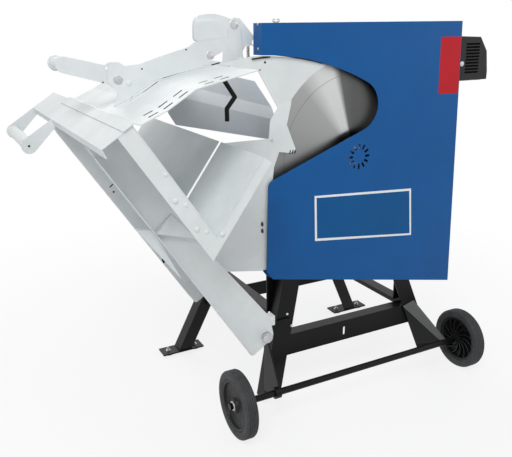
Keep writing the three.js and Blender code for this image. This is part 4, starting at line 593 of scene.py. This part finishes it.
def hub(side, matrix, radius):
    """A dished hub with curved ribs."""
    rim = radius - BEAD_DEPTH - 0.3
    face = [(rim, -17), (rim, 17), (rim - 2, 18.5), (rim - 8, 18.5), (rim - 10, 17), (rim - 12, 10.5),
            (rim - 15, 9)]
    bm = turned(bmesh.new(), face + HUB_DISH + HUB_BACK + [(rim, -17)], matrix, 72)
    for start in around(SPOKES):
        spoke(bm, matrix, start)
    bmesh.ops.remove_doubles(bm, verts=bm.verts, dist=WELD)
    detail = piece(side + "_hub_detail", bm, PLASTIC, side + "_wheel", 35)
    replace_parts(detail, side + "_wheel_hub")


def push_cap(side, matrix):
    """The cap on the axle's end."""
    piece(side + "_push_cap", turned(bmesh.new(), CAP, matrix, 32), ZINC, side + "_wheel", 30)


def wheel(side, outward):
    low, high = box_of(side + "_tyre")
    matrix = facing((low + high) / 2, (outward, 0, 0))
    radius = (high.z - low.z) / 2 / MM
    tyre(side, matrix, radius, (high.x - low.x) / 2 / MM)
    hub(side, matrix, radius)
    push_cap(side, matrix)


wheel("left", -1)
wheel("right", 1)


# Switch box, in millimetres

SWITCH_SIDE = [(0, 1112), (591.2, 1112), (591.4, 1150), (581, 1227), (546, 1277), (0, 1281)]
SWITCH_MIDDLE = 1200
SWITCH_FRONT, SWITCH_BACK = 11.7, 99.2
SWITCH_LEAN = 0.031
SWITCH_CHAMFERS = ((SWITCH_FRONT, 4.0), (SWITCH_FRONT + 1.2, 1.2), (SWITCH_FRONT + 4.0, 0.0),
                   (SWITCH_BACK, 0.0))
SWITCH_RISE, SWITCH_RISE_DEPTH = 12, 30
SOCKET_AT = (515, SWITCH_BACK, 1183.6)
SOCKET = [(0, 0), (28, 0), (28, 37), (26.8, 39), (25, 39), (25, 4), (0, 4)]
PIN = [(0, 3), (3, 3), (3, 23), (2, 25), (0, 25)]
PIN_PLACES = ((0, 12.8), (11.7, -7), (-11.7, -7))
SCREW = [(0, 0), (9.5, 0), (9.5, 2), (8, 3.2), (3.5, 3.6), (0, 3.6)]
# Slots and screw are placed in units.
SLOT_COUNT, SLOT_LOW, SLOT_PITCH = 10, 987, 9.6
SLOT_LEFT, SLOT_RIGHT, SLOT_HALF = 409, 462, 3.0
SLOT_Y, SLOT_DEPTH = 9.85, 0.0008
SCREW_AT = (392, 10, 1014)


def switch_ring(y, shrink, low, high):
    """The box's outline at depth y. Its bottom rises towards the front and its left side leans."""
    ring = []
    for x, z in SWITCH_SIDE:
        if x:
            x -= shrink
        else:
            x = low.x / MM - FRAME_SHIFT[0] + (high.z / MM - z) * SWITCH_LEAN
        if z < SWITCH_MIDDLE:
            near = 1 - min(1, (y - SWITCH_FRONT) / SWITCH_RISE_DEPTH)
            rise = SWITCH_RISE * near if z == SWITCH_SIDE[0][1] else 0
            z += shrink + rise
        else:
            z -= shrink
        ring.append(mm(x, y, z))
    return ring


def switch_box():
    low, high = box_of("switch_box")
    bm = bmesh.new()
    loft(bm, [switch_ring(y, shrink, low, high) for y, shrink in SWITCH_CHAMFERS])
    turned(bm, SOCKET, facing(mm(*SOCKET_AT), BACK), 40)
    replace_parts(piece("switch_box_detail", bm, PLASTIC, "machine"), "switch_box")


def inlet_pins():
    bm = bmesh.new()
    for x, z in PIN_PLACES:
        turned(bm, PIN, facing(mm(*SOCKET_AT), BACK) @ Matrix.Translation((x * MM, z * MM, 0)), 12)
    piece("inlet_pins", bm, ZINC, "machine", 40)


def switch_slots():
    bm = bmesh.new()
    # The slots are dark plates of painted shade.
    for z in (SLOT_LOW + i * SLOT_PITCH for i in range(SLOT_COUNT)):
        panel(bm, capsule((SLOT_LEFT, z), (SLOT_RIGHT, z), SLOT_HALF), SLOT_Y, SLOT_DEPTH)
    piece("switch_slots", bm, HOLE_SHADE, "machine")


def switch_box_screw():
    bm = turned(bmesh.new(), SCREW, facing(at(*SCREW_AT), FRONT), 24)
    piece("switch_box_screw", bm, STEEL, "machine", 30)


switch_box()
inlet_pins()
switch_slots()
switch_box_screw()


# Trough end and the folds of the front arm

END_Y = -219.4
END_THICK = 0.003
END_BOTTOM, END_LEFT, END_RIGHT = off_pivot(-268.3, 470.2), off_pivot(-480.7, 791), off_pivot(-119, 675.5)
LEFT_FLANGE, RIGHT_FLANGE = 42.0, 28.0
ARM_STEP = [(-658, 638), (-612.5, 679), (-550, 607)]
ARM_STEP_OUTER, ARM_STEP_APEX, ARM_STEP_BACK = -54, -36, -34
ARM_FOLD = [(-712, 658), (-664, 644), (-598, 502)]
ARM_FOLD_OUTER, ARM_FOLD_APEX, ARM_FOLD_BACK = -54.2, -40, -36


def trough_end():
    """The V of the end frame, with its wide left flange."""
    left = beside(END_BOTTOM, END_LEFT, LEFT_FLANGE)
    right = beside(END_BOTTOM, END_RIGHT, -RIGHT_FLANGE)
    bm = bmesh.new()
    panel(bm, [END_LEFT, END_BOTTOM, END_RIGHT, right[1], crossing(*left, *right), left[1]], END_Y, END_THICK)
    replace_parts(piece("trough_end_detail", bm, GREY, "rocker"), "trough_end_frame")


def arm_wedge(name, corners, outer_y, apex_y, back_y):
    """A three-cornered gusset on the arm, whose second corner lies further back than the others."""
    front = [at(x, y, z) for (x, z), y in zip(corners, (outer_y, apex_y, outer_y))]
    bm = bmesh.new()
    loft(bm, [front, [at(x, back_y, z) for x, z in corners]])
    piece(name, bm, GREY, "rocker")


trough_end()
arm_wedge("arm_step", ARM_STEP, ARM_STEP_OUTER, ARM_STEP_APEX, ARM_STEP_BACK)
arm_wedge("arm_fold", ARM_FOLD, ARM_FOLD_OUTER, ARM_FOLD_APEX, ARM_FOLD_BACK)


# Fasteners and small holes of the rocker. The plate passes 3.7 mm behind the housing, so its bolts are flat.

PLATE_FACE_Y = 53
GUARD_FACE_Y = 8
ARM_FACE_Y = -33
END_DOMES = [(-664.5, 764.2), (-615.9, 689.5), (-552.5, 668.1)]
END_TABS = [(-683, 826.4), (-639, 750.7), (-592, 680)]
PLATE_DOMES = [(-671.4, 1004.8), (-360.8, 1049.6)]
# Radius and height of the domes, and the sizes of the hexagon bolts, are in millimetres.
END_DOME, END_TAB, PLATE_DOME = (7.5, 4.0), (6.0, 2.6), (8.0, 2.8)
PLATE_BOLT_AT, GUARD_BOLT_AT = (-449, PLATE_FACE_Y, 1063.9), (-292.5, GUARD_FACE_Y, 835)
PLATE_BOLT = {"across": 18, "head": 2.0, "washer": 13, "plate": 1.0}
GUARD_BOLT = {"across": 8, "head": 2.5, "washer": 6}
HANDLE_HINGE_AT, CLAW_HINGE_AT = (-698, PLATE_FACE_Y, 1014), (-379, PLATE_FACE_Y, 1140)
HINGE_BOLT = {"across": 21.6, "head": 2.0, "washer": 14, "plate": 1.0}
PIVOT_BOLT_AT = (-354, -55.6, 274.4)
PIVOT_BOLT = {"across": 19, "head": 6, "washer": 13.5}
HOLES = [(-635.7, PLATE_FACE_Y, 1037.1, 2.2), (-516.4, PLATE_FACE_Y, 1080.2, 2.2),
         (-736, PLATE_FACE_Y, 1009.1, 2.0), (-312.2, GUARD_FACE_Y, 1043.3, 3.2),
         (-327.5, GUARD_FACE_Y, 1024.4, 2.0), (-754, ARM_FACE_Y, 756, 2.5)]
HOLE_LIFT = 0.12
GUARD_SLOTS_X = (-236, -227.5, -219)
ARM_SLOT = ((-762, 769), (-755, 775))
ARM_CUT = [(-646, 566), (-640, 549), (-626, 556)]
SLIT = [(-669.1, 967.3), (-582.3, 1012.0), (-424.0, 1044.5)]
HANDLE_HOLE, HANDLE_HOLE_Y = (-888.9, 826, 3.2), 324.9


def rocker_dome_bolts():
    bm = bmesh.new()
    for y, places, size in ((END_Y, END_DOMES, END_DOME), (END_Y, END_TABS, END_TAB),
                            (PLATE_FACE_Y, PLATE_DOMES, PLATE_DOME)):
        for x, z in places:
            dome_bolt(bm, at(x, y, z), FRONT, *size)
    piece("rocker_dome_bolts", bm, GREY, "rocker", 40)


def rocker_hex_bolts():
    bm = bmesh.new()
    hex_bolt(bm, at(*PLATE_BOLT_AT), FRONT, 0.3, **PLATE_BOLT)
    hex_bolt(bm, at(*GUARD_BOLT_AT), FRONT, 0.1, **GUARD_BOLT)
    piece("rocker_hex_bolts", bm, ZINC, "rocker", 30)


def joint_bolt(name, body, place, turn, size):
    """The bolt on a joint's axis."""
    bm = bmesh.new()
    hex_bolt(bm, at(*place), FRONT, turn, **size)
    piece(name, bm, ZINC, body, 30)


def rocker_holes():
    """Small holes and slots, shown as dark plates of painted shade that lie on the sheets."""
    bm = bmesh.new()
    for x, y, z, radius in HOLES:
        panel(bm, ring_of(x, z, radius), y - HOLE_LIFT)
    for x in GUARD_SLOTS_X:
        panel(bm, capsule((x, 791), (x + 2.5, 800), 1.6), GUARD_FACE_Y - HOLE_LIFT)
    panel(bm, capsule(*ARM_SLOT, 1.4), ARM_FACE_Y - 0.3)
    panel(bm, round_corners(ARM_CUT, 4), ARM_FACE_Y - 0.3)
    # The slit is painted shade for the shaded gap where the upright plate's foot meets the roof.
    for a, b in zip(SLIT, SLIT[1:]):
        panel(bm, capsule(a, b, 1.5), PLATE_FACE_Y - HOLE_LIFT)
    panel(bm, ring_of(*HANDLE_HOLE), HANDLE_HOLE_Y)
    piece("rocker_holes", bm, HOLE_SHADE, "rocker")


rocker_dome_bolts()
rocker_hex_bolts()
joint_bolt("handle_hinge_bolt", "upper_handle", HANDLE_HINGE_AT, 0.2, HINGE_BOLT)
joint_bolt("claw_hinge_bolt", "claw", CLAW_HINGE_AT, 0.4, HINGE_BOLT)
joint_bolt("pivot_bolt", "machine", PIVOT_BOLT_AT, 0.25, PIVOT_BOLT)
rocker_holes()


# Bracket of the right wheel, from the leg to the axle. Its upper face is a paler black, a painted highlight;
# its side is the plain frame black.

BRACKET_THICK = -0.003
BRACKET_UPPER = [(204, 0, 226), (313, -84, 101), (329, -84, 108), (250, 0, 239)]
BRACKET_FOOT = (276, 0, 66)


def right_bracket():
    upper = [at(*place) for place in BRACKET_UPPER]
    bm = bmesh.new()
    flat_sheet(bm, upper, BRACKET_THICK)
    flat_sheet(bm, [upper[0], at(*BRACKET_FOOT), upper[1]], BRACKET_THICK, 1)
    # Painted highlight black on the upper face, plain black on the side.
    sheets = piece("right_bracket_sheets", bm, (PAINTED_LIT_BLACK, BLACK), "machine")
    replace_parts(sheets, "right_wheel_bracket")


right_bracket()


# Roof slots, in millimetres from the pivot. They are shown as dark plates of painted shade, as the log makes
# them in the photograph.

ROOF_LINE = [(-460.8, 791), (-388.5, 822.5), (-311.5, 869.2), (-134.2, 908.8)]
VENT_X = (-418.8, -378, -336, -263.7, -219.3)
VENT_ROWS = (-233.3, -192.5)
VENT_LONG, VENT_WIDE = 12, 3.8
VENT_TOP, VENT_BOTTOM = -0.15, 2.2


def on_roof(x, y, drop):
    """A place drop below the roof's upper face."""
    for (x0, z0), (x1, z1) in zip(ROOF_LINE, ROOF_LINE[1:]):
        if x <= x1:
            break
    unit_x, unit_z = off_pivot(x, z0 + (z1 - z0) * (x - x0) / (x1 - x0) - drop)
    place = at(unit_x, 0, unit_z)
    place.y = mm(0, y, 0).y
    return place


def roof_slots():
    bm = bmesh.new()
    for x in VENT_X:
        for y in VENT_ROWS:
            corners = [(x + i * VENT_LONG, y + j * VENT_WIDE) for i, j in SQUARE]
            loft(bm, [[on_roof(a, b, drop) for a, b in corners] for drop in (VENT_TOP, VENT_BOTTOM)])
    piece("roof_slot_painted_shade", bm, HOLE_SHADE, "rocker")


roof_slots()


# Cover without the seat that stands on its face, which the photograph doesn't show

COVER_FACE = 68.4
COVER_SLACK = 0.2


def plain_cover():
    bm = bmesh.new()
    bm.from_mesh(nodes["rounded_cover"].data)
    bmesh.ops.remove_doubles(bm, verts=bm.verts, dist=WELD)
    face = mm(0, COVER_FACE - COVER_SLACK, 0).y
    bmesh.ops.delete(bm, geom=[v for v in bm.verts if v.co.y < face], context="VERTS")
    bmesh.ops.holes_fill(bm, edges=[e for e in bm.edges if e.is_boundary], sides=0)
    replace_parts(piece("rounded_cover_plain", bm, GREY, "rocker", 25), "rounded_cover")


plain_cover()


# Rod at the guard, and small pieces on the housing

GUARD_ROD = [(-352, 5, 1053), (-326, 5, 1055.5), (-299, 5, 1057)]
GUARD_ROD_RADIUS = 2.4
TAB_CORNERS = [(-317, 449), (-296, 449), (-277, 430), (-277, 410), (-300, 425)]
TAB_Y, TAB_THICK = 30, 0.002
# Radius and height of the buffers and of the side screws are in millimetres.
BUFFER_Y, BUFFER_Z, BUFFER = 9, (597, 577), (8.5, 6.5)
SIDE_SCREW_Y, SIDE_SCREW_Z, SIDE_SCREW = 22, (1140, 1078), (4.5, 2.2)
SIDE_SCREW_SINK = 0.0001
WING_AT = (-276, 12)
WING_STEM = [(0, 0), (8, 0), (8, 1.5), (5, 2), (5, 6), (3.5, 8), (0, 8)]
WING_REACH, WING_HEIGHT, WING_RADIUS, WING_WIRE = 8, 7, 4, 1.6
WING_STEPS = 14


def guard_rod():
    bm = bmesh.new()
    tube(bm, [at(*place) for place in GUARD_ROD], GUARD_ROD_RADIUS)
    piece("guard_rod", bm, PLASTIC, "rocker", 40)


def corner_tab():
    bm = bmesh.new()
    panel(bm, TAB_CORNERS, TAB_Y, TAB_THICK)
    piece("housing_corner_tab", bm, BLUE, "machine")


def on_left_wall(wall, y, z):
    place = at(0, y, z)
    place.x = wall
    return place


def housing_buffers(wall):
    bm = bmesh.new()
    for z in BUFFER_Z:
        dome_bolt(bm, on_left_wall(wall, BUFFER_Y, z), LEFT, *BUFFER)
    piece("housing_buffers", bm, RUBBER, "machine", 40)


def side_screws(wall):
    bm = bmesh.new()
    for z in SIDE_SCREW_Z:
        dome_bolt(bm, on_left_wall(wall + SIDE_SCREW_SINK, SIDE_SCREW_Y, z), LEFT, *SIDE_SCREW)
    piece("housing_side_screws", bm, ZINC, "machine", 40)


def wing_screw():
    """A stem with two wire loops on the housing's top."""
    stem = at(*WING_AT, 0)
    stem.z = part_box("blade_housing_front")[1][2]
    bm = turned(bmesh.new(), WING_STEM, facing(stem, UP), 20)
    for side in (-1, 1):
        loop = []
        for a in around(WING_STEPS) + [2 * math.pi]:
            reach = WING_REACH + WING_RADIUS * math.cos(a)
            height = WING_HEIGHT + WING_RADIUS * math.sin(a)
            loop.append(stem + Vector((side * reach, 0, height)) * MM)
        tube(bm, loop, WING_WIRE, 8)
    piece("housing_wing_screw", bm, ZINC, "machine", 40)


guard_rod()
corner_tab()
left_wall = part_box("blade_housing_front")[0][0]
housing_buffers(left_wall)
side_screws(left_wall)
wing_screw()


# Bolts of the stand

FOOT_BOLT = {"across": 13, "head": 5.5, "washer": 10, "thread": 8}
LEG_DOMES, LEG_FACE_Y, LEG_DOME = ((-247, 300), (-232, 258)), 2, (5.0, 2.6)


def stand_bolts():
    """A bolt through the foot plate over each pad, and two domes on the left leg."""
    bm = bmesh.new()
    for node in ("left_foot_plate", "right_foot_plate"):
        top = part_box(node)[1][2]
        for pad in ("outer", "inner"):
            low, high = box_of(node.replace("plate", "pad_" + pad))
            place = (low + high) / 2
            place.z = top
            hex_bolt(bm, place, UP, 0.3, **FOOT_BOLT)
    for x, z in LEG_DOMES:
        dome_bolt(bm, at(x, LEG_FACE_Y, z), FRONT, *LEG_DOME)
    piece("stand_bolts", bm, ZINC, "machine", 30)


stand_bolts()


# Camera, fitted to the photograph

CAMERA_AT = (-1129.7, -1516.5, 1129.5)
CAMERA_YAW, CAMERA_PITCH, CAMERA_ROLL = math.radians(27.2), math.radians(17.56), math.radians(-0.83)
CAMERA_LENS, CAMERA_SENSOR, CAMERA_END = 44.453, 36, 50


def add_camera():
    cam = bpy.data.objects.new("camera", bpy.data.cameras.new("camera"))
    bpy.context.scene.collection.objects.link(cam)
    cam.data.lens = CAMERA_LENS
    cam.data.sensor_width = CAMERA_SENSOR
    cam.data.sensor_fit = "HORIZONTAL"
    cam.data.clip_end = CAMERA_END
    level = math.cos(CAMERA_PITCH)
    ahead = Vector((math.sin(CAMERA_YAW) * level, math.cos(CAMERA_YAW) * level, -math.sin(CAMERA_PITCH)))
    right = Vector((math.cos(CAMERA_YAW), -math.sin(CAMERA_YAW), 0))
    up = right.cross(ahead)
    rolled_right = math.cos(CAMERA_ROLL) * right + math.sin(CAMERA_ROLL) * up
    rolled_up = -math.sin(CAMERA_ROLL) * right + math.cos(CAMERA_ROLL) * up
    turn = Matrix((rolled_right, rolled_up, -ahead)).transposed()
    cam.matrix_world = Matrix.Translation(at(*CAMERA_AT)) @ turn.to_4x4()
    bpy.context.scene.camera = cam


add_camera()


# Floor and light

WHITE = (1, 1, 1, 1)
WORLD_LIGHT, WORLD_SEEN = 0.5, 1.0
FLOOR_HALF, FLOOR_Z = 14, -0.0005
FLOOR_COLOUR = (0.8, 0.8, 0.8, 1)
FADE_START, FADE_END = 0.7, 2.4
FADE_NEAR, FADE_FAR = 0.8, 1.0


def seen_rays(tree):
    """1 for rays from the eye, from gloss and through glass."""
    light_path = tree.nodes.new("ShaderNodeLightPath")
    seen = light_path.outputs["Is Camera Ray"]
    for kind in ("Is Glossy Ray", "Is Transmission Ray"):
        larger = tree.nodes.new("ShaderNodeMath")
        larger.operation = "MAXIMUM"
        tree.links.new(seen, larger.inputs[0])
        tree.links.new(light_path.outputs[kind], larger.inputs[1])
        seen = larger.outputs[0]
    return seen


def add_world():
    """Soft light from all round, white where it is seen."""
    world = bpy.data.worlds.new("studio")
    world.use_nodes = True
    bpy.context.scene.world = world
    tree = world.node_tree
    background = tree.nodes["Background"]
    background.inputs["Color"].default_value = WHITE
    strength = tree.nodes.new("ShaderNodeMapRange")
    tree.links.new(seen_rays(tree), strength.inputs["Value"])
    strength.inputs["To Min"].default_value = WORLD_LIGHT
    strength.inputs["To Max"].default_value = WORLD_SEEN
    tree.links.new(strength.outputs["Result"], background.inputs["Strength"])


def floor_paint():
    """Pale and matt, fading to white away from the object, so that only its shadow stays."""
    paint = Paint("floor_pale")
    paint.inputs["Base Color"].default_value = FLOOR_COLOUR
    paint.inputs["Roughness"].default_value = 0.9
    paint.inputs["Specular IOR Level"].default_value = 0.1
    glow = paint.add("ShaderNodeEmission")
    glow.inputs["Color"].default_value = WHITE
    glow.inputs["Strength"].default_value = 1.0
    away = paint.vector("LENGTH", paint.texture_place(), None, "Value")
    fade = paint.grey(away, FADE_NEAR, FADE_FAR, FADE_START, FADE_END)
    white = paint.math("MULTIPLY", seen_rays(paint.tree), fade)
    mixed = paint.add("ShaderNodeMixShader")
    paint.put(mixed.inputs[0], white)
    paint.put(mixed.inputs[1], paint.tree.nodes["Principled BSDF"].outputs[0])
    paint.put(mixed.inputs[2], glow.outputs[0])
    paint.put(paint.tree.nodes["Material Output"].inputs["Surface"], mixed.outputs[0])
    return paint.material


def add_floor():
    bm = bmesh.new()
    bm.faces.new([bm.verts.new((x * FLOOR_HALF, y * FLOOR_HALF, FLOOR_Z)) for x, y in SQUARE])
    mesh = bpy.data.meshes.new("floor")
    bm.to_mesh(mesh)
    bm.free()
    mesh.materials.append(floor_paint())
    floor = bpy.data.objects.new("floor", mesh)
    bpy.context.scene.collection.objects.link(floor)


def add_lamp(name, place, aim, size, power):
    data = bpy.data.lights.new(name, "AREA")
    data.shape = "DISK"
    data.size = size
    data.energy = power
    lamp = bpy.data.objects.new(name, data)
    bpy.context.scene.collection.objects.link(lamp)
    lamp.location = place
    lamp.rotation_euler = (Vector(aim) - Vector(place)).to_track_quat("-Z", "Y").to_euler()


add_world()
add_floor()
add_lamp("key", (-2.4, -3.0, 4.4), (0, 0, 0.7), 2.4, 128)
add_lamp("fill", (3.4, -2.8, 2.2), (0, 0, 0.7), 2.8, 16)
add_lamp("back", (0.5, 3.4, 3.4), (0, 0, 0.8), 2.6, 36)
bpy.context.scene.view_settings.view_transform = "Standard"
